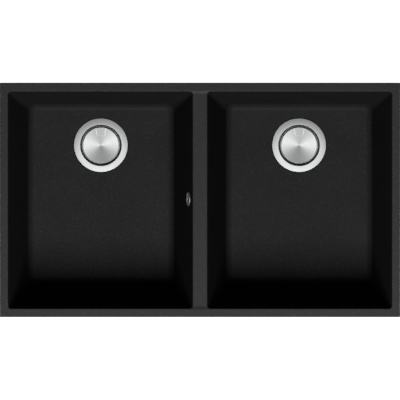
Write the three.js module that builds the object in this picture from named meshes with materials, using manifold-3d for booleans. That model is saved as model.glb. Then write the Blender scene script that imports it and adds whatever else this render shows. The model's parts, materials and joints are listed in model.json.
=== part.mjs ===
// Double bowl undermount kitchen sink moulded in quartz composite, with a basket-strainer waste
// in each bowl and one overflow, in the left bowl's wall next to the divider.
// Millimetres, +Z up. The origin is the centre of the rim plane, which is held up against the
// underside of a worktop. X runs along the sink's width and +Y points to its back.
import * as THREE from "three";
import { mergeVertices } from "three/addons/utils/BufferGeometryUtils.js";
import Module from "manifold-3d";

const wasm = await Module();
wasm.setup();

// ---------------------------------------------------------------- driving sizes

// Rim and bowls, measured at the rim plane
const bowl_width = 378;
const bowl_length = 445;
const divider_width = 30;
const side_rim = 17; // flat rim left and right of the bowls
const end_rim = 17.5; // flat rim in front of and behind the bowls
const rim_thickness = 12;
const rim_corner_radius = 2;
const rim_bevel = 1;
const bowl_depth = 205; // rim plane to the floor at the foot of the walls
const floor_fall = 3; // the floor is this much deeper at the waste
const side_draft = 11; // degrees the left and right walls lean from the vertical
const end_draft = 10.4; // degrees the front and back walls lean
const wall = 9;
const floor_thickness = 9;
const lip_radius = 3; // where the rim turns down into a bowl
const cove_radius = 15; // between walls and floor
const corner_radius_top = 6; // upright corners, at the rim
const corner_radius_foot = 18; // upright corners, where the cove starts
const rim_fillet = 4; // under the rim, where the outer walls start
const divider_drop = 2; // the divider's top below the rim
const divider_thickness = 14;
const divider_ramp = 8; // length over which its ends curve up to the rim

// Places of the wastes and of the overflow
const waste_back = 100; // waste centre behind the middle of its bowl
const overflow_depth = 41.5; // overflow centre below the rim, on the wall
const overflow_hole_radius = 12.5;

// Waste cup: a pressed steel cup whose flange lies in a round recess of the floor
const waste_hole_radius = 45;
const flange_radius = 55.2;
const flange_crown = 1.2; // top of the flange above the floor
const flange_edge = 0.3; // outer edge of the flange above the floor
const recess_depth = 3;
const recess_margin = 1.4; // recess radius less flange radius
const cup_mouth_radius = 42.1;
const cup_roll = 3; // radius of the rounding from flange to cup
const cup_waist_radius = 41;
const cup_straight = 28;
const cup_depth = 41;
const cup_sheet = 1.2;
const seat_radius = 32.4; // step that the rubber plug closes on
const seat_width = 3.6;
const seat_height = 4.6;
const drain_slots = 6;
const drain_slot_inner = 12;
const drain_slot_outer = 29;
const drain_spoke = 5;

// Seals and the plastic body under the floor
const floor_seal_thickness = 3;
const body_flange_overlap = 13; // its flange past the hole in the floor
const body_flange_thickness = 4;
const body_wall = 3;
const cup_chamber = 4; // width of the ring-shaped space round the cup
const body_cone_height = 12;
const body_ribs = 8;
const body_rib_height = 14;
const rib_thickness = 3;
const outlet_radius = 23.9;
const outlet_wall = 4.4;
const outlet_length = 30;
const outlet_collar_radius = 28;
const outlet_collar_height = 4;
const boss_radius = 8;
const boss_height = 14;
const boss_webs = 3;

// Clamp screw and nut, which pull cup and body together through the floor
const screw_radius = 3;
const screw_head_radius = 6;
const screw_head_height = 2;
const screw_slot = 1.2;
const nut_radius = 5.8;
const nut_height = 4.5;

// Strainer basket with its post and plug
const basket_rim_radius = 39.2;
const basket_rim_depth = 7.5; // floor down to the basket's rim
const basket_mouth_radius = 34.6;
const basket_bead = 1.4;
const basket_floor_radius = 31;
const basket_floor_depth = 26;
const basket_sheet = 1;
const basket_slots = 10;
const basket_slot_width = 5;
const basket_slot_height = 9;
const basket_hole_radius = 2.2;
const basket_hole_rings = [13, 22];
const basket_hole_spacing = 12; // along each ring
const post_radius = 3;
const knob_radius = 5.5;
const knob_height = 4;
const knob_depth = 9.5;
const plug_margin = 1.6; // how far the plug lies on its seat
const plug_thickness = 2.6;
const plug_nut_radius = 5;
const plug_nut_height = 1.5;

// Cover over the basket
const cover_radius = 36.9;
const cover_sheet = 1.3;
const cover_dish = 1.4; // centre of the cover below its edge, a shallow cone
const cover_depth = 0.5; // floor down to the cover's edge
const cover_skirt = 2.6;
const cover_feet = 3;
const foot_width = 9;
const foot_thickness = 1.6;
const tongue_length = 3; // how far a foot's tongue hangs inside the basket's mouth
const grip_width = 17; // finger recess at the cover's back edge
const grip_flare = 2.5;
const grip_length = 20;
const grip_depth = 0.7;

// Overflow: a round cover on the wall, screwed to a chamber behind it
const rosette_radius = 15.5;
const rosette_height = 3;
const rosette_sheet = 1;
const rosette_slots = 6;
const rosette_slot_width = 2.4;
const overflow_seal_thickness = 2;
const chamber_flange_radius = 15;
const chamber_flange_thickness = 2.6;
const chamber_radius = 12.8;
const chamber_back_radius = 10.5;
const chamber_wall = 2;
const chamber_reach = 12.5; // wall's outer face to the axis of the downward spout
const chamber_boss_radius = 3.6;
const overflow_screw_radius = 1.8;
const overflow_screw_head = 3.6;

// Overflow hose with its spigots and union nuts
const hose_bore = 6.6;
const hose_valley = 7.6;
const hose_crest = 9;
const hose_rib_pitch = 8;
const hose_bend = 70;
const hose_sides = 8;
const bore_ring_every = 5; // ribs
const spigot_wall = 1.6;
const spigot_reach = 14; // how far a spigot goes into the hose
const spout_drop = 26; // spout axis down to the shoulder of its spigot
const inlet_drop = 35; // floor down to the axis of a waste's side inlet
const inlet_reach = 62; // waste centre out to the shoulder of its spigot
const union_wall = 2.6;
const union_length = 16;
const union_overlap = 7; // how much of a union nut sits on the spigot's base
const grip_flutes = 10;
const washer_thickness = 1.5;

// Clearances and facets
const gap = 0.3; // between pieces pressed or screwed together
const slide_gap = 0.5; // between pieces that slide or screw into each other
const round_steps = 28;
const ring_steps = 20;
const small_steps = 12;
const corner_steps = 4;
const side_steps = 4;

// ---------------------------------------------------------------- values worked out from these

const radians = THREE.MathUtils.degToRad;
const lean = radians(side_draft);
const end_lean = radians(end_draft);
const half_rim_x = side_rim + bowl_width + divider_width / 2;
const half_rim_y = end_rim + bowl_length / 2;
const bowl_centre = (divider_width + bowl_width) / 2;
const floor_level = -bowl_depth - floor_fall;
const floor_underside = floor_level - floor_thickness;
const wall_across = wall / Math.cos(lean); // the wall's thickness, measured level
const seat_level = seat_height - cup_depth;
const cup_underside = -cup_depth - cup_sheet;
const body_top = -floor_thickness - floor_seal_thickness - 2 * gap;
const body_flange_radius = waste_hole_radius + body_flange_overlap;
const body_inner_radius = cup_mouth_radius + cup_sheet + cup_chamber;
const cone_top = cup_underside - cup_chamber;
const cone_bottom = cone_top - body_cone_height;
const outlet_end = cone_bottom - outlet_length;
const boss_top = cup_underside - gap;
const boss_bottom = boss_top - boss_height;
const basket_rim = -basket_rim_depth;
const basket_floor = -basket_floor_depth;
const spigot_radius = hose_bore - gap;
const union_bore = hose_crest + slide_gap;
const union_radius = union_bore + union_wall;

// ---------------------------------------------------------------- materials

const finish = (color, roughness, metalness) =>
  new THREE.MeshStandardMaterial({ color, roughness, metalness });
const composite = finish(0x2c2c2e, 0.8, 0);
const brushed_steel = finish(0xc8caca, 0.32, 1);
const turned_steel = finish(0xd4d6d6, 0.26, 1);
const black_rubber = finish(0x1b1b1c, 0.9, 0);
const white_plastic = finish(0xdadad5, 0.5, 0);
const grey_plastic = finish(0x86898b, 0.6, 0);
const brass = finish(0xb5914d, 0.35, 1);

// ---------------------------------------------------------------- solids and how they are cut

/** A closed geometry as a manifold: its doubled vertices merged, its empty triangles dropped. */
function manifoldOf(geometry) {
  const bare = new THREE.BufferGeometry();
  bare.setAttribute("position", geometry.attributes.position.clone());
  bare.setIndex(geometry.index);
  const merged = mergeVertices(bare, 1e-3);
  const triangles = [];
  for (let i = 0; i < merged.index.count; i += 3) {
    const [a, b, c] = merged.index.array.subarray(i, i + 3);
    if (a !== b && b !== c && c !== a) triangles.push(a, b, c);
  }
  return new wasm.Manifold(
    new wasm.Mesh({
      numProp: 3,
      vertProperties: merged.attributes.position.array,
      triVerts: Uint32Array.from(triangles),
    }),
  );
}

/** A manifold as a geometry. */
function geometryOf(manifold) {
  const { vertProperties, triVerts } = manifold.getMesh();
  const geometry = new THREE.BufferGeometry();
  geometry.setAttribute("position", new THREE.BufferAttribute(vertProperties.slice(), 3));
  geometry.setIndex(new THREE.BufferAttribute(triVerts.slice(), 1));
  geometry.computeVertexNormals();
  return geometry;
}

const join = (...shapes) => geometryOf(shapes.map(manifoldOf).reduce((a, b) => a.add(b)));
const common = (a, b) => geometryOf(manifoldOf(a).intersect(manifoldOf(b)));

/** The first shape with all the others taken away. */
const cut = (shape, ...tools) =>
  geometryOf(tools.map(manifoldOf).reduce((a, b) => a.subtract(b), manifoldOf(shape)));

/** A copy of a shape, turned about X, Y and Z and then moved. */
function placed(shape, [x, y, z], [turn_x, turn_y, turn_z] = [0, 0, 0]) {
  const matrix = new THREE.Matrix4()
    .makeRotationFromEuler(new THREE.Euler(turn_x, turn_y, turn_z))
    .setPosition(x, y, z);
  return shape.clone().applyMatrix4(matrix);
}

/** Copies of a shape, spaced evenly about the Z axis. */
const around = (shape, count, first = 0) =>
  Array.from({ length: count }, (_, i) =>
    placed(shape, [0, 0, 0], [0, 0, first + (i * 2 * Math.PI) / count]),
  );

/** A solid turned from a closed profile of [radius, z] points that goes counter-clockwise. */
function turned(profile, steps = round_steps) {
  const points = [...profile, profile[0]].map(([r, z]) => new THREE.Vector2(r, z));
  return new THREE.LatheGeometry(points, steps).rotateX(Math.PI / 2);
}

const rod = (radius, low, high, steps = small_steps) =>
  turned([[0, low], [radius, low], [radius, high], [0, high]], steps);

const ring = (inner, outer, low, high, steps = round_steps) =>
  turned([[inner, low], [outer, low], [outer, high], [inner, high]], steps);

/** A rod lying along +X from one distance to another, at a height. */
const levelRod = (radius, from, to, height, steps) =>
  placed(rod(radius, from, to, steps), [0, 0, height], [0, Math.PI / 2, 0]);

/** A box between two opposite corners. */
function box([x0, y0, z0], [x1, y1, z1]) {
  const shape = new THREE.BoxGeometry(x1 - x0, y1 - y0, z1 - z0);
  return shape.translate((x0 + x1) / 2, (y0 + y1) / 2, (z0 + z1) / 2);
}

/** A prism on an outline in X and Y. */
function prism(outline, low, high) {
  const options = { depth: high - low, bevelEnabled: false, curveSegments: 4 };
  return new THREE.ExtrudeGeometry(outline, options).translate(0, 0, low);
}

/** An outline through [x, y] points. */
const outlineOf = (points) => new THREE.Shape(points.map(([x, y]) => new THREE.Vector2(x, y)));

/** Points on an arc from one angle to another, in degrees. */
const arc = ([x, y], radius, from, to, steps = 3) =>
  Array.from({ length: steps + 1 }, (_, i) => {
    const angle = radians(THREE.MathUtils.lerp(from, to, i / steps));
    return [x + radius * Math.cos(angle), y + radius * Math.sin(angle)];
  });

// ---------------------------------------------------------------- skins through level rings

/** A level rectangle with round corners, counter-clockwise from its front right corner.
 * Each side has a few points between its corners, so that a round ring can follow it. */
function rectangleRing(half_x, half_y, radius, z) {
  const corners = [[1, -1], [1, 1], [-1, 1], [-1, -1]];
  return corners.flatMap(([sx, sy], k) => {
    const centre = [sx * (half_x - radius), sy * (half_y - radius)];
    const turn = arc(centre, radius, 90 * k - 90, 90 * k, corner_steps);
    const [x, y] = turn[corner_steps];
    const step = (2 * ((k % 2 ? half_x : half_y) - radius)) / side_steps;
    const side = Array.from({ length: side_steps - 1 }, (_, i) => [
      x + (k % 2 ? -sy * step * (i + 1) : 0),
      y + (k % 2 ? 0 : sx * step * (i + 1)),
    ]);
    return [...turn, ...side].map(([px, py]) => new THREE.Vector3(px, py, z));
  });
}

/** A level circle with as many points as a rectangle ring, starting at the same side. */
function circleRing(centre_y, radius, z) {
  const count = 4 * (corner_steps + side_steps);
  const first = -Math.PI / 4 - (corner_steps * Math.PI) / count;
  return Array.from({ length: count }, (_, i) => {
    const angle = first + (i * 2 * Math.PI) / count;
    const [x, y] = [radius * Math.cos(angle), centre_y + radius * Math.sin(angle)];
    return new THREE.Vector3(x, y, z);
  });
}

/** Triangles between neighbouring rings of equal point counts, each ring below the last. */
function ringTriangles(rings, count) {
  const triangles = [];
  for (let level = 0; level + 1 < rings; level++) {
    for (let i = 0; i < count; i++) {
      const a = level * count + i;
      const b = level * count + ((i + 1) % count);
      triangles.push(a, a + count, b, b, a + count, b + count);
    }
  }
  return triangles;
}

/** The solid skinned over level rings, listed from the top one down. */
function lofted(rings) {
  const count = rings[0].length;
  const points = rings.flat();
  const triangles = ringTriangles(rings.length, count);
  for (const level of [0, rings.length - 1]) {
    const hub = points.length;
    const total = rings[level].reduce((sum, p) => sum.add(p), new THREE.Vector3());
    points.push(total.divideScalar(count));
    for (let i = 0; i < count; i++) {
      const a = level * count + i;
      const b = level * count + ((i + 1) % count);
      triangles.push(hub, ...(level ? [b, a] : [a, b]));
    }
  }
  return new THREE.BufferGeometry().setFromPoints(points).setIndex(triangles);
}

// ---------------------------------------------------------------- the sink moulding

/** How far a wall stands in from the opening at a depth: down the round lip, along the leaning
 * wall and round the cove, whose radius ends level at the full depth. */
function wallInset(depth, wall_lean, cove, full_depth) {
  const lip_end = lip_radius * (1 - Math.sin(wall_lean));
  const cove_start = full_depth - cove * (1 - Math.sin(wall_lean));
  if (depth < lip_end) {
    const reach = lip_radius * Math.tan(Math.PI / 4 - wall_lean / 2);
    return Math.sqrt(lip_radius ** 2 - (lip_radius - depth) ** 2) - reach;
  }
  if (depth <= cove_start) return depth * Math.tan(wall_lean);
  const centre_depth = full_depth - cove;
  const centre_inset = centre_depth * Math.tan(wall_lean) + cove / Math.cos(wall_lean);
  return centre_inset - Math.sqrt(Math.max(cove ** 2 - (depth - centre_depth) ** 2, 0));
}

/** A bowl's ring at a depth, or that of its outer skin, which stands outside by an offset. */
function bowlRing(depth, { cove, full_depth, offset }, z = -depth) {
  const inset_x = wallInset(depth, lean, cove, full_depth);
  const inset_y = wallInset(depth, end_lean, cove, full_depth);
  const share = Math.min(depth / full_depth, 1);
  const upright = THREE.MathUtils.lerp(corner_radius_top, corner_radius_foot, share);
  const corner = Math.max(upright - (inset_x - depth * Math.tan(lean)) + offset, 1);
  const half_x = bowl_width / 2 - inset_x + offset;
  return rectangleRing(half_x, bowl_length / 2 - inset_y + offset, corner, z);
}

/** Depths through a cove, from where the wall meets it down to the level floor. */
const coveDepths = (cove, full_depth, turns) =>
  arc([0, full_depth - cove], cove, side_draft, 90, turns).map(([, depth]) => depth);

/** Depths down the round lip. */
const lipDepths = () =>
  arc([0, lip_radius], lip_radius, -90, -side_draft, 3).map(([, depth]) => depth);

/** The space in one bowl, from above the rim down to the round recess for the waste. */
function bowlSpace() {
  const inside = { cove: cove_radius, full_depth: bowl_depth, offset: 0 };
  const depths = [...lipDepths(), ...coveDepths(cove_radius, bowl_depth, 5)];
  const recess_radius = flange_radius + recess_margin;
  return lofted([
    bowlRing(0, inside, rim_bevel),
    ...depths.map((depth) => bowlRing(depth, inside)),
    circleRing(waste_back, recess_radius, floor_level),
    circleRing(waste_back, recess_radius, floor_level - recess_depth),
  ]);
}

/** The outer skin of one bowl, with a fillet where it hangs from the rim. */
function bowlShell() {
  const outside = { cove: cove_radius + wall, full_depth: -floor_underside, offset: wall_across };
  const fillet = arc([rim_fillet, rim_fillet], rim_fillet, 270, 180, 3).map(([out, down]) =>
    bowlRing(rim_thickness + down, { ...outside, offset: wall_across + out }),
  );
  const cove = coveDepths(outside.cove, outside.full_depth, 4);
  const top = bowlRing(rim_thickness, { ...outside, offset: wall_across + rim_fillet });
  return lofted([
    top.map((p) => p.clone().setZ(-rim_thickness / 2)),
    ...fillet,
    ...cove.map((depth) => bowlRing(depth, outside)),
  ]);
}

/** The flat plate of the rim, bevelled round its top edge. */
function rimPlate() {
  const level = (z, inset) =>
    rectangleRing(half_rim_x - inset, half_rim_y - inset, rim_corner_radius - inset / 2, z);
  return lofted([level(0, rim_bevel), level(-rim_bevel, 0), level(-rim_thickness, 0)]);
}

/** What is cut away over the divider: round along both its edges, and curved up at its ends. */
function dividerCut() {
  const lip_drop = lip_radius * (1 - Math.sin(lean));
  const low = divider_drop + lip_drop;
  const edge = divider_width / 2 + divider_drop * Math.tan(lean);
  const reach = lip_radius * Math.tan(Math.PI / 4 - lean / 2);
  const centre = [edge - reach, -divider_drop - lip_radius];
  const half_width = edge + corner_radius_top + 2 * lip_radius;
  const right = [[half_width, rim_bevel], [half_width, -low]];
  right.push(...arc(centre, lip_radius, side_draft, 90));
  const left = right.map(([x, z]) => [-x, z]).reverse();
  const across = outlineOf([...right, ...left].reverse());

  const half_length = bowl_length / 2 + reach;
  const ramp = Array.from({ length: 5 }, (_, i) => {
    const share = i / 4;
    return [half_length - divider_ramp * (1 - share), -divider_drop * (1 - share ** 2)];
  });
  const back = [[half_length - divider_ramp, -low], ...ramp, [half_length, rim_bevel]];
  const front = back.map(([y, z]) => [-y, z]).reverse();
  const along = outlineOf([...front, ...back]);

  const run = prism(across, -half_length, half_length).rotateX(Math.PI / 2);
  const side = prism(along, -half_width, half_width);
  return common(run, side.rotateX(Math.PI / 2).rotateZ(Math.PI / 2));
}

/** The frame of the overflow: Z points out of the wall into the left bowl, Y up the wall. */
function overflowFrame() {
  const frame = new THREE.Group();
  const wall_x = -divider_width / 2 - overflow_depth * Math.tan(lean);
  frame.position.set(wall_x, 0, -overflow_depth);
  const up = new THREE.Vector3(Math.sin(lean), 0, Math.cos(lean));
  const out = new THREE.Vector3(-Math.cos(lean), 0, Math.sin(lean));
  const side = new THREE.Vector3().crossVectors(up, out);
  frame.quaternion.setFromRotationMatrix(new THREE.Matrix4().makeBasis(side, up, out));
  frame.updateMatrix();
  return frame;
}

function sinkBody() {
  const shell = bowlShell();
  const space = bowlSpace();
  const hole = rod(waste_hole_radius, floor_underside - 1, floor_level, round_steps);
  const bridge_bottom = -divider_drop - divider_thickness;
  const bridge_half = bowl_length / 2 - corner_radius_foot;
  const bridge_side = divider_width / 2;
  const bridge = box(
    [-bridge_side, -bridge_half, bridge_bottom],
    [bridge_side, bridge_half, -rim_thickness / 2],
  );
  const overflow_hole = rod(overflow_hole_radius, -wall - 1, lip_radius, ring_steps);
  const sides = [-bowl_centre, bowl_centre];
  return cut(
    join(rimPlate(), bridge, ...sides.map((x) => placed(shell, [x, 0, 0]))),
    ...sides.map((x) => placed(space, [x, 0, 0])),
    ...sides.map((x) => placed(hole, [x, waste_back, 0])),
    dividerCut(),
    overflow_hole.applyMatrix4(overflowFrame().matrix),
  );
}

// ---------------------------------------------------------------- waste pieces
// Each is made about the waste's own axis, with z = 0 at the bowl's floor.

/** Part of a flat ring between two angles, as an outline. */
function sectorOutline(inner, outer, half_angle) {
  const outline = new THREE.Shape();
  outline.absarc(0, 0, outer, -half_angle, half_angle, false);
  outline.absarc(0, 0, inner, half_angle, -half_angle, true);
  return outline;
}

function wasteCup() {
  const roll = [cup_mouth_radius + cup_roll, flange_crown - cup_roll];
  const ledge = seat_radius + seat_width;
  const cup = turned([
    [0, cup_underside],
    [seat_radius + cup_sheet, cup_underside],
    [seat_radius + cup_sheet, seat_level - cup_sheet],
    [ledge + cup_sheet / 2, seat_level - cup_sheet],
    [cup_waist_radius + cup_sheet, -cup_straight - cup_sheet / 2],
    ...arc(roll, cup_roll - cup_sheet, 180, 90, 2),
    [flange_radius, flange_edge - cup_sheet],
    [flange_radius, flange_edge],
    ...arc(roll, cup_roll, 90, 180, 2),
    [cup_waist_radius, -cup_straight],
    [ledge, seat_level],
    [seat_radius, seat_level],
    [seat_radius, -cup_depth],
    [0, -cup_depth],
  ]);
  const half_angle = Math.PI / drain_slots - drain_spoke / (drain_slot_inner + drain_slot_outer);
  const outline = sectorOutline(drain_slot_inner, drain_slot_outer, half_angle);
  const slot = prism(outline, cup_underside - 1, 1 - cup_depth);
  const hole = rod(screw_radius + slide_gap, cup_underside - 1, 1 - cup_depth);
  return cut(cup, hole, ...around(slot, drain_slots));
}

function flangeGasket() {
  const low = gap - recess_depth;
  const high = flange_edge - cup_sheet - gap;
  const outer = flange_radius - recess_margin;
  return ring(waste_hole_radius + slide_gap, outer, low, high, ring_steps);
}

function floorSeal() {
  const high = -floor_thickness - gap;
  const outer = body_flange_radius - recess_margin;
  const low = high - floor_seal_thickness;
  return ring(waste_hole_radius + slide_gap, outer, low, high, ring_steps);
}

/** The outside of the waste's plastic body, as [radius, z] points from its flange down. */
const bodyOutside = () => [
  [body_flange_radius, body_top],
  [body_flange_radius, body_top - body_flange_thickness],
  [body_inner_radius + body_wall, body_top - body_flange_thickness],
  [body_inner_radius + body_wall, cone_top],
  [outlet_collar_radius, cone_bottom],
  [outlet_collar_radius, cone_bottom - outlet_collar_height],
  [outlet_radius, cone_bottom - outlet_collar_height],
  [outlet_radius, outlet_end],
];

function wasteBody() {
  const bore = outlet_radius - outlet_wall;
  const inside = [[bore, outlet_end], [bore, cone_bottom]];
  inside.push([body_inner_radius, cone_top], [body_inner_radius, body_top]);
  const outside = bodyOutside();
  const housing = turned([...inside, ...outside].reverse());
  const filled = turned([[0, outlet_end], ...[...outside].reverse(), [0, body_top]]);

  const boss = rod(boss_radius, boss_bottom, boss_top);
  const half_web = rib_thickness / 2;
  const web_top = boss_top - cup_chamber;
  const web = box([0, -half_web, boss_bottom], [body_flange_radius, half_web, web_top]);
  const spider = common(join(boss, ...around(web, boss_webs, Math.PI / boss_webs)), filled);

  const rib_inner = body_inner_radius + body_wall / 2;
  const rib_outer = body_flange_radius - body_wall;
  const rib_top = body_top - body_flange_thickness / 2;
  const rib_low = body_top - body_flange_thickness - body_rib_height;
  const rib_outline = outlineOf([[rib_inner, rib_low], [rib_outer, rib_top], [rib_inner, rib_top]]);
  const rib = prism(rib_outline, -half_web, half_web).rotateX(Math.PI / 2);
  const ribs = around(rib, body_ribs, Math.PI / body_ribs);

  const inlet_base = levelRod(hose_crest, rib_inner, inlet_reach, -inlet_drop);
  const inlet_end = inlet_reach + spigot_reach;
  const inlet = levelRod(spigot_radius, rib_inner, inlet_end, -inlet_drop);
  const inlet_start = body_inner_radius - cup_chamber / 2;
  const inlet_bore = levelRod(spigot_radius - spigot_wall, inlet_start, inlet_end + 1, -inlet_drop);

  const screw_bore = rod(screw_radius + slide_gap, boss_bottom - 1, boss_top + 1);
  const nut_pocket = rod(nut_radius + gap, boss_bottom - 1, boss_bottom + nut_height + gap, 6);
  const body = join(housing, spider, inlet_base, inlet, ...ribs);
  return cut(body, inlet_bore, screw_bore, nut_pocket);
}

function clampScrew() {
  const head_low = gap - cup_depth;
  const head_top = head_low + screw_head_height;
  const end = boss_bottom - screw_head_height;
  const screw = turned(
    [[0, end], [screw_radius, end], [screw_radius, head_low]].concat([
      [screw_head_radius, head_low],
      [screw_head_radius, head_top],
      [0, head_top],
    ]),
    small_steps,
  );
  const half_slot = screw_slot / 2;
  const slot_floor = head_top - screw_head_height / 2;
  const reach = screw_head_radius + 1;
  return cut(screw, box([-reach, -half_slot, slot_floor], [reach, half_slot, head_top + 1]));
}

function clampNut() {
  const [low, high] = [boss_bottom, boss_bottom + nut_height];
  return cut(rod(nut_radius, low, high, 6), rod(screw_radius + gap, low - 1, high + 1));
}

/** Holes in rings on the basket's floor, and upright slots in its wall. */
function basketOpenings() {
  const low = basket_floor - basket_sheet - 1;
  const hole = rod(basket_hole_radius, low, basket_floor + 1, 6);
  const holes = basket_hole_rings.flatMap((radius) => {
    const count = Math.floor((2 * Math.PI * radius) / basket_hole_spacing);
    return around(placed(hole, [radius, 0, 0]), count);
  });
  const middle = (basket_rim + basket_floor) / 2;
  const [half_width, half_height] = [basket_slot_width / 2, basket_slot_height / 2];
  const slot = box(
    [basket_floor_radius - basket_slot_width, -half_width, middle - half_height],
    [basket_rim_radius, half_width, middle + half_height],
  );
  return [...holes, ...around(slot, basket_slots)];
}

function strainerBasket() {
  const underside = basket_floor - basket_sheet;
  const rounding = 3 * basket_sheet;
  const basket = turned([
    [0, underside],
    [basket_floor_radius - rounding, underside],
    [basket_floor_radius + basket_sheet, underside + rounding],
    [basket_mouth_radius + basket_sheet, basket_rim - basket_sheet],
    [basket_rim_radius, basket_rim - basket_sheet],
    [basket_rim_radius, basket_rim + basket_bead],
    [basket_rim_radius - basket_sheet, basket_rim + basket_bead],
    [basket_rim_radius - basket_sheet, basket_rim],
    [basket_mouth_radius, basket_rim],
    [basket_floor_radius, basket_floor + rounding - basket_sheet],
    [basket_floor_radius - rounding, basket_floor],
    [0, basket_floor],
  ]);
  const post_hole = rod(post_radius + slide_gap, underside - 1, basket_floor + 1);
  return cut(basket, post_hole, ...basketOpenings());
}

const plug_top = seat_level + gap + plug_thickness;
const post_end = seat_level + gap - plug_nut_height - gap;

/** The post: a knob to lift by, a stem through the basket, and a shoulder on the plug. */
function basketPost() {
  const knob_top = -knob_depth;
  const knob_low = knob_top - knob_height;
  const shoulder_top = basket_floor - basket_sheet - gap;
  const tail = post_radius - 1;
  return turned(
    [[0, post_end], [tail, post_end], [tail, plug_top + gap], [knob_radius, plug_top + gap]].concat(
      [[knob_radius, shoulder_top], [post_radius, shoulder_top], [post_radius, knob_low]],
      [[knob_radius, knob_low + 1], [knob_radius, knob_top - 1], [knob_radius - 1, knob_top]],
      [[0, knob_top]],
    ),
    small_steps,
  );
}

function basketPlug() {
  const radius = seat_radius + plug_margin;
  const low = seat_level + gap;
  const lip = plug_thickness / 3;
  const bore = post_radius - 1 + gap;
  const profile = [[bore, low], [radius, low], [radius, low + lip], [radius - lip, plug_top]];
  return turned([...profile, [bore, plug_top]], ring_steps);
}

function plugNut() {
  const high = seat_level;
  const low = high - plug_nut_height;
  const bore = rod(post_radius - 1 + gap, low - 1, high + 1, 12);
  return cut(rod(plug_nut_radius, low, high, 6), bore);
}

/** The cover: a shallow cone, lowest in the middle, with a short skirt, on feet that stand on
 * the basket's rim. */
function wasteCover() {
  const edge = -cover_depth;
  const skirt_low = edge - cover_skirt;
  const inner = cover_radius - cover_sheet;
  const middle = edge - cover_dish;
  const cover = turned([
    [0, middle - cover_sheet],
    [inner, edge - cover_sheet],
    [inner, skirt_low],
    [cover_radius, skirt_low],
    [cover_radius, edge - cover_sheet / 2],
    [cover_radius - cover_sheet / 2, edge],
    [0, middle],
  ]);
  const stand = basket_rim + gap;
  const half = foot_width / 2;
  const outer = cover_radius - cover_sheet / 2;
  const tongue = basket_mouth_radius - basket_sheet - slide_gap;
  const top = edge - cover_sheet / 2;
  const foot = join(
    box([outer - foot_thickness, -half, stand], [outer, half, top]),
    box([tongue - foot_thickness, -half, stand], [outer, half, stand + foot_thickness]),
    box([tongue - foot_thickness, -half, stand - tongue_length], [tongue, half, stand + 1]),
  );
  const round = rod(cover_radius, stand - tongue_length - 1, edge - cover_sheet / 2, round_steps);
  const feet = around(foot, cover_feet, Math.PI / 2).map((shape) => common(shape, round));

  const grip_end = cover_radius - grip_length + grip_width / 2;
  const grip = new THREE.Shape();
  grip.moveTo(grip_width / 2 + grip_flare, cover_radius + 1);
  grip.lineTo(-grip_width / 2 - grip_flare, cover_radius + 1);
  grip.lineTo(-grip_width / 2, grip_end);
  grip.absarc(0, grip_end, grip_width / 2, Math.PI, 2 * Math.PI, false);
  const slope = Math.atan(cover_dish / cover_radius);
  const recess = placed(prism(grip, middle - grip_depth, 1), [0, 0, 0], [slope, 0, 0]);
  return cut(join(cover, ...feet), recess);
}

// ---------------------------------------------------------------- overflow pieces
// The first four are made in the overflow's frame, with z = 0 at the wall's inner face.

function overflowRosette() {
  const hub = overflow_screw_head + rosette_sheet;
  const shoulder = rosette_radius - rosette_height;
  const rosette = turned(
    [
      [0, rosette_height - rosette_sheet],
      [shoulder, rosette_height - rosette_sheet],
      [rosette_radius - rosette_sheet, gap],
      [rosette_radius, gap],
      [rosette_radius, gap + rosette_sheet],
      [shoulder, rosette_height],
      [0, rosette_height],
    ],
    ring_steps,
  );
  const half = rosette_slot_width / 2;
  const slot = box([hub, -half, 0], [shoulder - rosette_sheet, half, rosette_height + 1]);
  const hole = rod(overflow_screw_radius + slide_gap, 0, rosette_height + 1, 12);
  return cut(rosette, hole, ...around(slot, rosette_slots));
}

const seal_low = -wall - gap - overflow_seal_thickness;
const chamber_top = seal_low - gap;
const spout_axis = -wall - chamber_reach;
const chamber_back = spout_axis - hose_crest;

function overflowScrew() {
  const head_low = rosette_height + gap;
  const head_top = head_low + overflow_screw_head / 2;
  const end = spout_axis;
  const screw = turned(
    [[0, end], [overflow_screw_radius, end], [overflow_screw_radius, head_low]].concat([
      [overflow_screw_head, head_low],
      [overflow_screw_head - 1, head_top],
      [0, head_top],
    ]),
    12,
  );
  const half = screw_slot / 2;
  const reach = overflow_screw_head + 1;
  return cut(screw, box([-reach, -half, head_top - 1], [reach, half, head_top + 1]));
}

const overflowSeal = () =>
  ring(overflow_hole_radius, chamber_flange_radius, seal_low, -wall - gap, ring_steps);

/** The chamber behind the wall, whose spout points straight down to the hose. */
function overflowChamber() {
  const flange_low = chamber_top - chamber_flange_thickness;
  const shell = turned(
    [
      [0, chamber_back],
      [chamber_back_radius, chamber_back],
      [chamber_radius, flange_low],
      [chamber_flange_radius, flange_low],
      [chamber_flange_radius, chamber_top],
      [0, chamber_top],
    ],
    ring_steps,
  );
  const hollow = turned(
    [
      [0, chamber_back + chamber_wall],
      [chamber_back_radius - chamber_wall, chamber_back + chamber_wall],
      [chamber_radius - chamber_wall, flange_low],
      [chamber_radius - chamber_wall, chamber_top + 1],
      [0, chamber_top + 1],
    ],
    ring_steps,
  );
  const downwards = (shape) => placed(shape, [0, 0, spout_axis], [Math.PI / 2 + lean, 0, 0]);
  const spout = downwards(rod(hose_crest, 0, spout_drop));
  const spigot = downwards(rod(spigot_radius, 0, spout_drop + spigot_reach));
  const bore = downwards(rod(spigot_radius - spigot_wall, 0, spout_drop + spigot_reach + 1));
  const boss = rod(chamber_boss_radius, chamber_back + chamber_wall / 2, chamber_top);
  const pilot = rod(overflow_screw_radius + gap, spout_axis - 1, chamber_top + 1, 12);
  return cut(join(cut(join(shell, spout, spigot), hollow, bore), boss), pilot);
}

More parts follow.
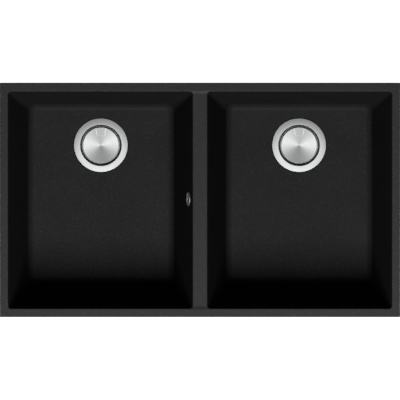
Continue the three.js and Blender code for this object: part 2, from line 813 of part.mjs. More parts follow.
/** A ring with grip flutes round its outside. */
function fluted(shape, radius, low, high) {
  const flute = rod(union_wall / 2, low - 1, high + 1, 6);
  return cut(shape, ...around(placed(flute, [radius + union_wall / 4, 0, 0]), grip_flutes));
}

/** A union nut, along +Z from the base of a spigot over the hose's end. */
function unionNut() {
  const [low, high] = [-union_overlap, union_length - union_overlap];
  const sleeve = ring(union_bore, union_radius, low, high, ring_steps);
  return fluted(sleeve, union_radius, low, high);
}

/** The cap that closes a waste's side inlet, along +Z from the shoulder of its spigot. */
function inletCap() {
  const low = -union_overlap;
  const floor = spigot_reach + 2 * gap + washer_thickness;
  const high = floor + union_wall;
  const cap = turned(
    [
      [union_bore, low],
      [union_radius, low],
      [union_radius, high - 1],
      [union_radius - 1, high],
      [0, high],
      [0, floor],
      [union_bore, floor],
    ],
    ring_steps,
  );
  return fluted(cap, union_radius, low, high);
}

const capWasher = () => {
  const low = spigot_reach + gap;
  const inner = spigot_radius - spigot_wall;
  return ring(inner, union_bore - gap, low, low + washer_thickness, ring_steps);
};

// ---------------------------------------------------------------- the ribbed hose

/** The hose's middle line: straight down, a quarter turn, then level to the waste. */
function hoseRoute(start, end) {
  const level = new THREE.Vector3(end.x - start.x, end.y - start.y, 0).normalize();
  const centre = new THREE.Vector3(start.x, start.y, end.z + hose_bend);
  centre.addScaledVector(level, hose_bend);
  const bend = new THREE.Curve();
  bend.getPoint = (t) => {
    const angle = (t * Math.PI) / 2;
    const point = centre.clone().addScaledVector(level, -hose_bend * Math.cos(angle));
    return point.setZ(centre.z - hose_bend * Math.sin(angle));
  };
  const route = new THREE.CurvePath();
  route.add(new THREE.LineCurve3(start, bend.getPoint(0)));
  route.add(bend);
  route.add(new THREE.LineCurve3(bend.getPoint(1), end));
  return { route, across: level.clone().cross(new THREE.Vector3(0, 0, 1)) };
}

/** A ribbed tube along the route: rings alternate between valley and crest. */
function ribbedHose(start, end) {
  const { route, across } = hoseRoute(start, end);
  const ribs = Math.round(route.getLength() / hose_rib_pitch);
  route.arcLengthDivisions = 10 * ribs;
  route.updateArcLengths();
  const ringAt = (share, radius) => {
    const centre = route.getPointAt(share);
    const up = across.clone().cross(route.getTangentAt(share));
    return Array.from({ length: hose_sides }, (_, i) => {
      const angle = (i * 2 * Math.PI) / hose_sides;
      const point = centre.clone().addScaledVector(across, radius * Math.cos(angle));
      return point.addScaledVector(up, radius * Math.sin(angle));
    });
  };
  const outer = Array.from({ length: 2 * ribs + 1 }, (_, i) =>
    ringAt(i / (2 * ribs), i % 2 ? hose_crest : hose_valley),
  );
  const bore_corner = hose_bore / Math.cos(Math.PI / hose_sides);
  const bore_rings = Math.ceil(ribs / bore_ring_every);
  const inner = Array.from({ length: bore_rings + 1 }, (_, i) =>
    ringAt(1 - i / bore_rings, bore_corner),
  );
  const rings = [...outer, ...inner, outer[0]];
  let least = Infinity;
  for (let i = 1; i + 2 < outer.length; i += 2) {
    outer[i].forEach((p, k) => (least = Math.min(least, p.distanceTo(outer[i + 2][k]))));
  }
  console.log(`overflow hose: ${ribs} ribs, crests at least ${least.toFixed(2)} mm apart`);
  return new THREE.BufferGeometry()
    .setFromPoints(rings.flat())
    .setIndex(ringTriangles(rings.length, hose_sides));
}

// ---------------------------------------------------------------- the assembly

const sink = new THREE.Group();

/** Adds a named piece to a group. */
function add(parent, name, shape, material) {
  const mesh = new THREE.Mesh(shape, material);
  mesh.name = name;
  parent.add(mesh);
  return mesh;
}

add(sink, "sink_body", sinkBody(), composite);

const overflow = overflowFrame();
overflow.updateMatrixWorld();
sink.add(overflow);
add(overflow, "overflow_rosette", overflowRosette(), brushed_steel);
add(overflow, "overflow_screw", overflowScrew(), brushed_steel);
add(overflow, "overflow_seal", overflowSeal(), black_rubber);
add(overflow, "overflow_chamber", overflowChamber(), grey_plastic);

// Both side inlets look toward the axis of the overflow's spout
const spout = overflow.localToWorld(new THREE.Vector3(0, 0, spout_axis));
const housings = {};

for (const [side, x] of [["left", -bowl_centre], ["right", bowl_centre]]) {
  const waste = new THREE.Group();
  waste.position.set(x, waste_back, floor_level);
  sink.add(waste);
  add(waste, `${side}_waste_cup`, wasteCup(), brushed_steel);
  add(waste, `${side}_flange_gasket`, flangeGasket(), black_rubber);
  add(waste, `${side}_floor_seal`, floorSeal(), black_rubber);
  add(waste, `${side}_clamp_screw`, clampScrew(), brushed_steel);
  add(waste, `${side}_basket`, strainerBasket(), brushed_steel);
  add(waste, `${side}_basket_post`, basketPost(), brushed_steel);
  add(waste, `${side}_basket_plug`, basketPlug(), black_rubber);
  add(waste, `${side}_plug_nut`, plugNut(), brass);
  add(waste, `${side}_waste_cover`, wasteCover(), turned_steel);

  const housing = new THREE.Group();
  const aim_x = side === "left" ? spout.x : -spout.x;
  housing.rotation.z = Math.atan2(-waste_back, aim_x - x);
  waste.add(housing);
  add(housing, `${side}_waste_body`, wasteBody(), white_plastic);
  add(housing, `${side}_clamp_nut`, clampNut(), brass);
  housings[side] = housing;
}

/** A group whose Z axis leaves a waste's side inlet at the shoulder of its spigot. */
function inletFrame(side) {
  const frame = new THREE.Group();
  frame.position.set(inlet_reach, 0, -inlet_drop);
  frame.rotation.y = Math.PI / 2;
  housings[side].add(frame);
  frame.updateWorldMatrix(true, false);
  return frame;
}

const left_inlet = inletFrame("left");
const right_inlet = inletFrame("right");
add(left_inlet, "lower_union_nut", unionNut(), grey_plastic);
add(right_inlet, "inlet_cap", inletCap(), grey_plastic);
add(right_inlet, "inlet_cap_washer", capWasher(), black_rubber);

const spout_end = new THREE.Group();
spout_end.position.set(spout.x, spout.y, spout.z - spout_drop);
spout_end.rotation.x = Math.PI;
sink.add(spout_end);
add(spout_end, "upper_union_nut", unionNut(), grey_plastic);

const hose_start = spout_end.position.clone().setZ(spout_end.position.z - gap);
const hose_end = left_inlet.localToWorld(new THREE.Vector3(0, 0, gap));
add(sink, "overflow_hose", ribbedHose(hose_start, hose_end), black_rubber);

export default sink;
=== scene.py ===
import json
import math

import bmesh
import bpy
import numpy as np
from bpy.props import FloatProperty, FloatVectorProperty, PointerProperty
from mathutils import Matrix, Vector


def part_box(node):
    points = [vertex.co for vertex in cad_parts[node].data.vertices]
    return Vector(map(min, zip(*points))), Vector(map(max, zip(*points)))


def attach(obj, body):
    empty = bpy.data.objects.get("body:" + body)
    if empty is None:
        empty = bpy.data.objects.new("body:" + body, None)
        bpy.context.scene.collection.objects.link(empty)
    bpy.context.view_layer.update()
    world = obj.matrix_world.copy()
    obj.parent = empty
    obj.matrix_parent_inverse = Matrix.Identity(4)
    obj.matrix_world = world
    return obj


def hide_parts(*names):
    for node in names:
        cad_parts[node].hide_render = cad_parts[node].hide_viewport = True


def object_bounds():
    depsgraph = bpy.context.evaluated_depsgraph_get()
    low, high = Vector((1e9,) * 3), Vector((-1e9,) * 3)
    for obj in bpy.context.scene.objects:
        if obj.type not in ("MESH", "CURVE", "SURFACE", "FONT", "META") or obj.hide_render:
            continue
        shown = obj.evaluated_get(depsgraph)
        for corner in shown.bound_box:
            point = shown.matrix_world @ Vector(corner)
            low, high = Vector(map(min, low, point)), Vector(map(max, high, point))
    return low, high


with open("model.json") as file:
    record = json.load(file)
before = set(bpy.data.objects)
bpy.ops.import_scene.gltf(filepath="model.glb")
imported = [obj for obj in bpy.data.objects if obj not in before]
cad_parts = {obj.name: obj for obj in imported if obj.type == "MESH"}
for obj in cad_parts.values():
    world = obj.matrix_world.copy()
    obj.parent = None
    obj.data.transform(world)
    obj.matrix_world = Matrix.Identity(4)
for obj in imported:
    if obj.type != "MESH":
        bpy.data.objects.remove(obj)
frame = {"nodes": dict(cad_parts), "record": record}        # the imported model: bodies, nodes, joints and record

bl_info = {
    "name": "Double Bowl Kitchen Sink",
    "version": (1, 0, 0),
    "blender": (4, 5, 0),
    "location": "3D View > Sidebar > Sink",
    "description": "Surfaces and finishes of a double bowl sink, built round its packed model",
    "category": "Object",
}

MM = 0.001
CAD_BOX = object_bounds()
SIDES = ("left", "right")
DIVIDER = 30  # millimetres, its width at the rim plane
SIDE_LEAN = 11  # degrees, of the left and right walls


# ---------------- places taken from the frame

def middle(node):
    """The middle of a node's box."""
    low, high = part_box(node)
    return (low + high) / 2


RIM_LOW, RIM_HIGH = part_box("sink_body")
WASTE_X = {side: middle(f"{side}_waste_cup").x for side in SIDES}
WASTE_Y = middle("left_waste_cup").y
FLANGE_CROWN = 1.2 * MM
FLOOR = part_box("left_waste_cup")[1].z - FLANGE_CROWN  # the bowls' floor at the wastes
SLOTS = {row["node"]: row["material_slot"] for row in frame["record"]["subparts"]}
BODIES = {node: body for body, nodes in frame["record"]["behaviour"]["bodies"].items()
          for node in nodes}


# ---------------- sizes and colours to change

def number(name, description, default, **kind):
    """A number property."""
    return FloatProperty(name=name, description=description, default=default, **kind)


def length(name, description, millimetres):
    """A length property, with its default in millimetres."""
    return number(name, description, millimetres * MM, unit="LENGTH")


def slope(name, description, degrees):
    """An angle property, with its default in degrees."""
    return number(name, description, math.radians(degrees), subtype="ANGLE")


def colour(name, description, default):
    """A colour property, in linear light."""
    return FloatVectorProperty(name=name, description=description, default=default,
                               size=3, min=0, max=1, subtype="COLOR")


class SinkSizes(bpy.types.PropertyGroup):
    """Sizes of the moulded sink."""
    divider: length("Divider", "Width of the divider at the rim plane", DIVIDER)
    side_rim: length("Side rim", "Flat rim left and right of the bowls", 17.3)
    end_rim: length("End rim", "Flat rim in front of and behind the bowls", 17.5)
    rim: length("Rim thickness", "Thickness of the rim plate", 12)
    rim_corner: length("Rim corners", "Radius of the rim's outer corners", 2)
    bevel: length("Bevel", "Bevel along the rim's outer edge", 1)
    depth: length("Bowl depth", "Rim plane to the foot of the walls", 205)
    fall: length("Fall", "From the middle to where the walls' foot is level with the waste", 150)
    wall: length("Wall", "Thickness of walls and floor", 9)
    lip: length("Lip radius", "Rounding where the rim turns down into a bowl", 1.6)
    cove: length("Cove radius", "Rounding between walls and floor", 15)
    corner_top: length("Corners at the rim", "Radius of the upright corners at the rim", 6)
    corner_foot: length("Corners at the foot", "Radius of the upright corners at the cove", 18)
    fillet: length("Rim fillet", "Rounding under the rim", 4)
    drop: length("Divider drop", "The divider's top below the rim", 0.5)
    bridge: length("Divider thickness", "Thickness of the divider's top", 14)
    ramp: length("Divider ramp", "Length over which the divider's ends curve up", 8)
    recess: length("Recess depth", "Depth of the round recess for the flange", 3)
    recess_radius: length("Recess radius", "Radius of the round recess", 56.6)
    hole: length("Waste hole", "Radius of the hole for the waste", 45)
    side_draft: slope("Side draft", "Lean of the left and right walls", SIDE_LEAN)
    end_draft: slope("End draft", "Lean of the front and back walls", 10.4)


class SinkFinishes(bpy.types.PropertyGroup):
    """Colours and roughness of the finishes."""
    composite: colour("Composite", "Black quartz composite", (0.0149, 0.015, 0.0154))
    steel: colour("Steel", "Brushed and turned steel", (0.477, 0.487, 0.481))
    rubber: colour("Rubber", "Seals, plugs and hose", (0.012, 0.012, 0.013))
    white: colour("White plastic", "Waste bodies", (0.62, 0.62, 0.6))
    grey: colour("Grey plastic", "Overflow chamber and nuts", (0.22, 0.23, 0.24))
    brass: colour("Brass", "Small nuts", (0.47, 0.3, 0.09))


class SinkStage(bpy.types.PropertyGroup):
    """Camera, lamps and floor."""
    lens: number("Lens", "Focal length, long for an almost parallel view", 1500, unit="CAMERA")
    tilt: slope("Tilt", "Lean of the view towards the back", 3.65)
    overfill: length("Overfill", "How much wider the sink is than the view", 1.5)
    offset: length("Offset", "The view's middle behind the rim's middle", 0.3)
    key_angle: slope("Key angle", "Key lamp's lean towards the front", 24)
    key_power: number("Key power", "Power of the key lamp", 482, unit="POWER")
    key_distance: length("Key distance", "Key lamp to the middle of the rim", 6500)
    key_width: length("Key width", "Key lamp across the view", 2000)
    key_height: length("Key height", "Key lamp along its lean", 2600)
    fill_power: number("Fill power", "Power of each low lamp", 26, unit="POWER")
    fill_distance: length("Fill distance", "Low lamps to the sink's middle", 1600)
    fill_width: length("Fill width", "Width of the low lamps", 1500)
    ambient: number("Ambient", "Strength of the dim light all round", 0.05)


# ---------------- surfaces

def skin(points, closed=True):
    """A grid of points, rows by columns by 3, as one surface: its points, and the faces between
    neighbouring rows and columns. A closed grid's last column joins its first."""
    rows, columns = points.shape[:2]
    row = np.arange(rows - 1)[:, None]
    column = np.arange(columns if closed else columns - 1)[None, :]
    following = (column + 1) % columns
    corners = (row * columns + column, row * columns + following,
               (row + 1) * columns + following, (row + 1) * columns + column)
    return points.reshape(-1, 3), np.stack(corners, -1).reshape(-1, 4)


def raw(name, surfaces, weld=2e-6):
    """One closed mesh from surfaces whose edges meet: their doubled points are merged and all
    faces turned outwards."""
    points = np.concatenate([p for p, _ in surfaces])
    firsts = np.cumsum([0] + [len(p) for p, _ in surfaces[:-1]])
    corners = np.concatenate([(f + first).ravel() for (_, f), first in zip(surfaces, firsts)])
    mesh = bpy.data.meshes.new(name)
    mesh.vertices.add(len(points))
    mesh.vertices.foreach_set("co", points.ravel())
    mesh.loops.add(len(corners))
    mesh.loops.foreach_set("vertex_index", corners.astype(np.int32))
    mesh.polygons.add(len(corners) // 4)
    mesh.polygons.foreach_set("loop_start", np.arange(0, len(corners), 4, dtype=np.int32))
    mesh.update(calc_edges=True)
    shape = bmesh.new()
    shape.from_mesh(mesh)
    bmesh.ops.remove_doubles(shape, verts=shape.verts, dist=weld)
    bmesh.ops.dissolve_degenerate(shape, edges=shape.edges, dist=weld / 2)
    bmesh.ops.recalc_face_normals(shape, faces=shape.faces)
    shape.to_mesh(mesh)
    shape.free()
    part = bpy.data.objects.new(name, mesh)
    bpy.context.scene.collection.objects.link(part)
    return part


def carve(part, tools):
    """Takes closed surfaces away from a part."""
    tool = raw("tool", tools)
    step = part.modifiers.new("carve", "BOOLEAN")
    step.operation, step.solver, step.object = "DIFFERENCE", "EXACT", tool
    meshes = bpy.data.meshes
    carved = meshes.new_from_object(part.evaluated_get(bpy.context.evaluated_depsgraph_get()))
    part.modifiers.clear()
    whole, part.data = part.data, carved
    bpy.data.objects.remove(tool)
    meshes.remove(whole)


def form(node, surfaces, tools=(), at=None, sharp=32, name=None):
    """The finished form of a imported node, with its finish, on the node's body. Its surfaces
    and the tools that carve it are first moved to a place, and edges sharper than an angle
    stay sharp."""
    if at is not None:
        surfaces, tools = [[moved(piece, at) for piece in group] for group in (surfaces, tools)]
    part = raw(name or f"{node}_form", surfaces)
    if tools:
        carve(part, tools)
    part.data.shade_smooth()
    part.data.set_sharp_from_angle(angle=math.radians(sharp))
    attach(part, BODIES[node])
    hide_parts(node)
    return dress(part, node)


def smooth(share):
    """0 to 1 with a level start and end: 3 t squared less 2 t cubed."""
    t = np.clip(share, 0, 1)
    return t * t * (3 - 2 * t)


def onward(start, end, count):
    """Rows of numbers that go on from a start, evenly spaced up to an end."""
    return start + np.linspace(0, 1, count + 1)[1:, None] * (end - start)


def polar(radius, angle):
    """x and y at a radius and an angle."""
    return np.stack([radius * np.cos(angle), radius * np.sin(angle)])


def axial(grid):
    """The distance of a grid's points from the upright axis, and their angle about it."""
    x, y = grid[..., 0], grid[..., 1]
    return np.hypot(x, y), np.arctan2(y, x)


def between(one, other, shares):
    """Rows of x and y at shares of the way from one row to another."""
    return one[:, None] + shares[:, None] * (other - one)[:, None]


def raised(xy, height):
    """Rows of points from rows of x and y, with the height of each."""
    return np.stack(np.broadcast_arrays(*xy, height), -1)


def rounded(corners, steps):
    """A line through corners (x, y, radius): each corner with a radius becomes an arc that
    touches both its sides."""
    corners = np.array([c if len(c) == 3 else (*c, 0) for c in corners], float)
    line = []
    for i, (x, y, radius) in enumerate(corners):
        here = np.array([x, y])
        if radius == 0:
            line.append(here[None])
            continue
        towards = [corners[j % len(corners), :2] - here for j in (i - 1, i + 1)]
        one, other = [v / np.linalg.norm(v) for v in towards]
        half = math.acos(np.clip(one @ other, -1, 1)) / 2
        centre = here + (one + other) / np.linalg.norm(one + other) * radius / math.sin(half)
        start = here + one * radius / math.tan(half) - centre
        end = here + other * radius / math.tan(half) - centre
        turn = math.atan2(start[0] * end[1] - start[1] * end[0], start @ end)
        angle = math.atan2(start[1], start[0]) + turn * np.linspace(0, 1, steps + 1)
        line.append(centre + polar(radius, angle).T)
    return np.concatenate(line)


def wheel(profile, steps):
    """A closed outline of (radius, height) points carried once round the upright axis, as a
    grid of points."""
    profile = np.concatenate([profile, profile[:1]])
    angle = np.arange(steps) * 2 * np.pi / steps
    return raised(polar(profile[:, :1], angle), profile[:, 1:])


def lathe(*corners, steps=96, arc=6):
    """A turned surface from corners (radius, height, rounding) in millimetres."""
    return skin(wheel(rounded(corners, arc) * MM, steps))


def rod(radius, low, high, steps=96):
    """A plain upright rod in millimetres."""
    return lathe((0, low), (radius, low), (radius, high), (0, high), steps=steps)


def washer(inner, outer, low, high, rounding):
    """A flat ring in millimetres whose four edges are rounded."""
    return lathe((inner, low, rounding), (outer, low, rounding),
                 (outer, high, rounding), (inner, high, rounding))


def spigot(start, shoulder, steps):
    """A pipe stub in millimetres, which steps in at its shoulder to the spigot of the hose."""
    end = shoulder + 14
    return lathe((4.7, start), (9, start), (9, shoulder, 0.5), (6.3, shoulder, 0.3),
                 (6.3, end, 0.8), (4.7, end, 0.4), steps=steps)


def loft(rings):
    """A closed surface through rings of points, its ends closed by a point in the middle."""
    ends = [np.broadcast_to(ring.mean(0), ring.shape) for ring in (rings[0], rings[-1])]
    return skin(np.concatenate([ends[:1], rings, ends[1:]]))


def slab(stations, rounding=0.4, steps=4):
    """A bar along X through stations (x, half width, low, high) in millimetres, with a rounded
    rectangle as its section."""
    rings = []
    for x, half, low, high in stations:
        outline = rounded([(half, low, rounding), (half, high, rounding),
                           (-half, high, rounding), (-half, low, rounding)], steps)
        rings.append(np.insert(outline, 0, x, axis=1))
    return loft(np.array(rings) * MM)


def prism(outline, low, high):
    """An upright prism in millimetres on an outline round a point inside it."""
    return loft(np.array([np.insert(outline, 2, z, axis=1) for z in (low, high)]) * MM)


def stadium(half_length, half_width, low, high, steps=10):
    """An upright rod in millimetres whose section is a slot with round ends, along X."""
    turn = np.linspace(-np.pi / 2, np.pi / 2, steps)
    right = polar(half_width, turn).T + [half_length - half_width, 0]
    return prism(np.concatenate([right, -right]), low, high)


def moved(surface, matrix):
    """A surface with its points carried over by a matrix."""
    points, faces = surface
    matrix = np.array(matrix)
    return points @ matrix[:3, :3].T + matrix[:3, 3], faces


def shift(x, y, z):
    """A move in millimetres."""
    return Matrix.Translation(Vector((x, y, z)) * MM)


def spin(degrees, axis="Z"):
    """A turn about an axis."""
    return Matrix.Rotation(math.radians(degrees), 4, axis)


def around(surface, count, first=0.0):
    """Copies of a surface, spaced evenly about the upright axis."""
    return [moved(surface, spin(first + 360 * i / count)) for i in range(count)]


# ---------------- finishes

class Wire:
    """An output socket of a node tree. Arithmetic on it adds Math nodes."""

    def __init__(self, finish, socket):
        self.finish, self.socket = finish, socket

    def math(self, operation, other):
        return self.finish.node("Math", [self, other], operation=operation)

    def __add__(self, other):
        return self.math("ADD", other)

    def __sub__(self, other):
        return self.math("SUBTRACT", other)

    def __mul__(self, other):
        return self.math("MULTIPLY", other)

    __radd__ = __add__


class Finish:
    """A material, or the world, under construction."""

    def __init__(self, name, kind="materials", shader="Principled BSDF"):
        self.block = getattr(bpy.data, kind).new(name)
        self.block.use_nodes = True
        self.tree = self.block.node_tree
        self.shader = self.tree.nodes[shader]

    def node(self, kind, inputs=(), output=0, **settings):
        """A shader node, its settings made first, then its sockets given values or wires."""
        node = self.tree.nodes.new("ShaderNode" + kind)
        for key, value in settings.items():
            setattr(node, key, value)
        for key, value in inputs.items() if isinstance(inputs, dict) else enumerate(inputs):
            self.set(node.inputs[key], value)
        return Wire(self, node.outputs[output])

    def set(self, socket, value):
        """Gives a socket a wire, a colour or another value."""
        if isinstance(value, Wire):
            self.tree.links.new(value.socket, socket)
        else:
            socket.default_value = (*value, 1) if socket.type == "RGBA" else value

    def shade(self, **sockets):
        """Values or wires for the shader's own sockets, by name with _ for a space."""
        for name, value in sockets.items():
            self.set(self.shader.inputs[name.replace("_", " ")], value)
        return self.block

    def place(self, centre=(0, 0, 0)):
        """Object coordinates measured from a centre."""
        coordinates = self.node("TexCoord", output="Object")
        return self.node("Mapping", {"Vector": coordinates, "Location": [-c for c in centre]})

    def noise(self, place, scale, detail=2.0, roughness=0.5):
        """Noise about a half, at a place."""
        return self.node("TexNoise", {"Vector": place, "Scale": scale, "Detail": detail,
                                      "Roughness": roughness})

    def range(self, wire, low, high, to_low=0.0, to_high=1.0):
        """A wire's values from low to high, carried over to another range."""
        return self.node("MapRange", [wire, low, high, to_low, to_high])

    def blend(self, share, one, other):
        """A colour between two, by a share from 0 to 1."""
        return self.node("Mix", {"Factor": share, 6: one, 7: other}, output=2, data_type="RGBA")

    def vary(self, noise, tone, low, high):
        """A colour made darker and lighter by a noise."""
        return self.blend(self.range(noise, 0.3, 0.7), tone * low, tone * high)

    def bump(self, height, distance, strength=0.4):
        """A normal that follows a height."""
        return self.node("Bump", {"Height": height, "Distance": distance, "Strength": strength})


def composite_finish():
    """Black quartz composite: fine light and dark grains in a matt binder, whose pigment gives
    a soft gleam that fades at a flat angle. The rim's top is smoother and more metallic, and its
    colour is painted lighter: a painted highlight for the light the rim catches and the bowls miss."""
    tone = Vector(bpy.context.scene.sink_finishes.composite)
    finish = Finish("black_composite")
    place = finish.place()
    height = finish.node("SeparateXYZ", [place], output=2)
    top = finish.range(height, -6 * MM, -1.5 * MM)
    grain = finish.noise(place, 900, 3.0, 0.6)
    crystals = finish.node("TexVoronoi", {"Vector": place, "Scale": 700}, output="Color")
    fleck = finish.range(finish.node("SeparateColor", [crystals]), 0.86, 1.0)
    drifted = finish.vary(finish.noise(place, 14), tone, 0.94, 1.06)
    # Painted highlight: the rim's top is painted 1.3 times lighter than the rest of the composite
    base = finish.blend(top, drifted, tone * 1.3)
    grained = finish.blend(finish.range(grain, 0.35, 0.65) * 0.16, base, tone * 2.2)
    flecked = finish.blend(fleck * 0.14, grained, (0.11, 0.11, 0.115))
    rough = finish.range(grain, 0.3, 0.7, 0.49, 0.59) - top * 0.13
    relief = grain * 0.6 + fleck * 0.4
    return finish.shade(Base_Color=flecked, Metallic=0.23 + top * 0.19, Roughness=rough,
                        Specular_IOR_Level=0.0, Specular_Tint=(0, 0, 0),
                        Normal=finish.bump(relief, 0.00005))


def steel_finish(name, centre, roughness, anisotropy):
    """Steel brushed in fine circles about an upright axis, with a painted highlight where a point attribute marks
    it.
    """
    tone = Vector(bpy.context.scene.sink_finishes.steel)
    finish = Finish(name)
    place = finish.place(centre)
    flat = finish.node("VectorMath", [place, (1, 1, 0)], operation="MULTIPLY")
    radius = finish.node("VectorMath", [flat], output="Value", operation="LENGTH")
    y, x = [finish.node("SeparateXYZ", [place], output=axis) for axis in (1, 0)]
    lines = finish.node("CombineXYZ", [radius * 2600, y.math("ARCTAN2", x) * 3.0])
    brush = finish.noise(lines, 1.0, 2.0, 0.6)
    # Painted highlight: the steel is painted 1.65 times lighter where the attribute marks the cover's recess step
    painted_step_highlight = finish.node("Attribute", output="Fac", attribute_name="painted_step_highlight")
    base = finish.blend(painted_step_highlight, finish.vary(brush, tone, 0.93, 1.05), tone * 1.65)
    rough = finish.range(brush, 0.3, 0.7, roughness - 0.04, roughness + 0.04)
    return finish.shade(Base_Color=base, Metallic=1.0, Anisotropic=anisotropy,
                        Roughness=rough + finish.noise(place, 40) * 0.04,
                        Normal=finish.bump(brush, 0.00002))


def plain_finish(name, tone, roughness, grain_scale=400, grain=0.00003, metallic=0.0):
    """Moulded or plain material with faint colour drift and fine surface grain."""
    finish = Finish(name)
    place = finish.place()
    speckle = finish.noise(place, grain_scale, 3.0, 0.6)
    base = finish.vary(finish.noise(place, 25), Vector(tone), 0.93, 1.05)
    rough = finish.range(speckle, 0.3, 0.7, roughness - 0.06, roughness + 0.06)
    return finish.shade(Base_Color=base, Metallic=metallic, Roughness=rough,
                        Normal=finish.bump(speckle, grain, 0.6))


FINISHES = {}


def make_finishes():
    """Makes every finish. The steels of a waste are brushed round its own axis."""
    colours = bpy.context.scene.sink_finishes
    FINISHES["composite"] = composite_finish()
    steels = [(f"{side}_{kind}_steel", (WASTE_X[side], WASTE_Y, 0), *look) for side in SIDES
              for kind, look in (("brushed", (0.62, 0.3)), ("turned", (0.6, 0.76)))]
    for name, *look in [*steels, ("brushed_steel", middle("overflow_rosette"), 0.5, 0.2)]:
        FINISHES[name] = steel_finish(name, *look)
    for name, *look in (("black_rubber", colours.rubber, 0.62),
                        ("white_plastic", colours.white, 0.42),
                        ("grey_plastic", colours.grey, 0.45),
                        ("brass", colours.brass, 0.3, 900, 0.00001, 1.0)):
        FINISHES[name] = plain_finish(name, *look)


def dress(part, node):
    """Gives a part the finish of a node's slot. Turned steel is made for each waste's axis."""
    slot = SLOTS[node]
    finish = FINISHES.get(f"{node.split('_')[0]}_{slot}") or FINISHES[slot]
    part.data.materials.clear()
    part.data.materials.append(finish)
    return part


# ---------------- places of the pieces

OVERFLOW_HOLE = 12.5  # radius, in millimetres
OVERFLOW_DEPTH = 41.5  # below the rim plane, in millimetres
LEAN = math.radians(SIDE_LEAN)
OVERFLOW = Matrix((  # X to the front, Y up the wall, Z out of the wall into the left bowl
    (0, math.sin(LEAN), -math.cos(LEAN), (-DIVIDER / 2 - OVERFLOW_DEPTH * math.tan(LEAN)) * MM),
    (-1, 0, 0, 0),
    (0, math.cos(LEAN), math.sin(LEAN), -OVERFLOW_DEPTH * MM),
    (0, 0, 0, 1)))
SPOUT = OVERFLOW @ Vector((0, 0, -21.5 * MM))
SPOUT_END = Matrix.Translation(SPOUT) @ shift(0, 0, -26) @ spin(180, "X")
WASTES = {side: Matrix.Translation((WASTE_X[side], WASTE_Y, FLOOR)) for side in SIDES}


def housing(side):
    """The frame of a waste's plastic body, turned so that its inlet looks to the overflow."""
    across = math.copysign(SPOUT.x, WASTE_X[side]) - WASTE_X[side]
    return WASTES[side] @ Matrix.Rotation(math.atan2(-WASTE_Y, across), 4, "Z")


def inlet(side):
    """Z leaves a waste's side inlet from the shoulder of its spigot."""
    return housing(side) @ shift(62, 0, -35) @ spin(90, "Y")


# ---------------- the moulded sink

class RoundRectangle:
    """Points round a rectangle with round corners, counter-clockwise from its front right
    corner. Points on a side lie closer together towards its ends."""

    def __init__(self, arc_steps, side_steps):
        turn = np.linspace(-90, 0, arc_steps + 1)
        along = (1 - np.cos(np.pi * np.arange(1, side_steps) / side_steps)) / 2
        per_corner = arc_steps + side_steps
        self.arc_steps, self.per_corner, self.count = arc_steps, per_corner, 4 * per_corner
        self.corner = np.repeat(np.arange(4), per_corner)
        quarter = np.concatenate([turn, np.zeros(side_steps - 1)])
        self.angle = np.radians(np.tile(quarter, 4) + 90 * self.corner)
        self.share = np.tile(np.concatenate([np.zeros(arc_steps + 1), along]), 4)

    def points(self, left, right, front, back, radii, square=()):
        """x and y of every point. Radii are four pairs (across, along), and the corners listed
        as square run out into a right angle instead of an arc."""
        ends = []
        for corner in (self.corner, (self.corner + 1) % 4):
            ux, uy = np.cos(self.angle), np.sin(self.angle)
            stretch = np.where(np.isin(corner, square), 1 / np.maximum(abs(ux), abs(uy)), 1)
            across = np.choose(corner, [pair[0] for pair in radii])
            along = np.choose(corner, [pair[1] for pair in radii])
            x = np.where(corner < 2, right - across, left + across) + across * ux * stretch
            y = np.where((corner == 1) | (corner == 2), back - along, front + along)
            ends.append(np.stack([x, y + along * uy * stretch]))
        return ends[0] + self.share * (ends[1] - ends[0])


RING = RoundRectangle(32, 48)


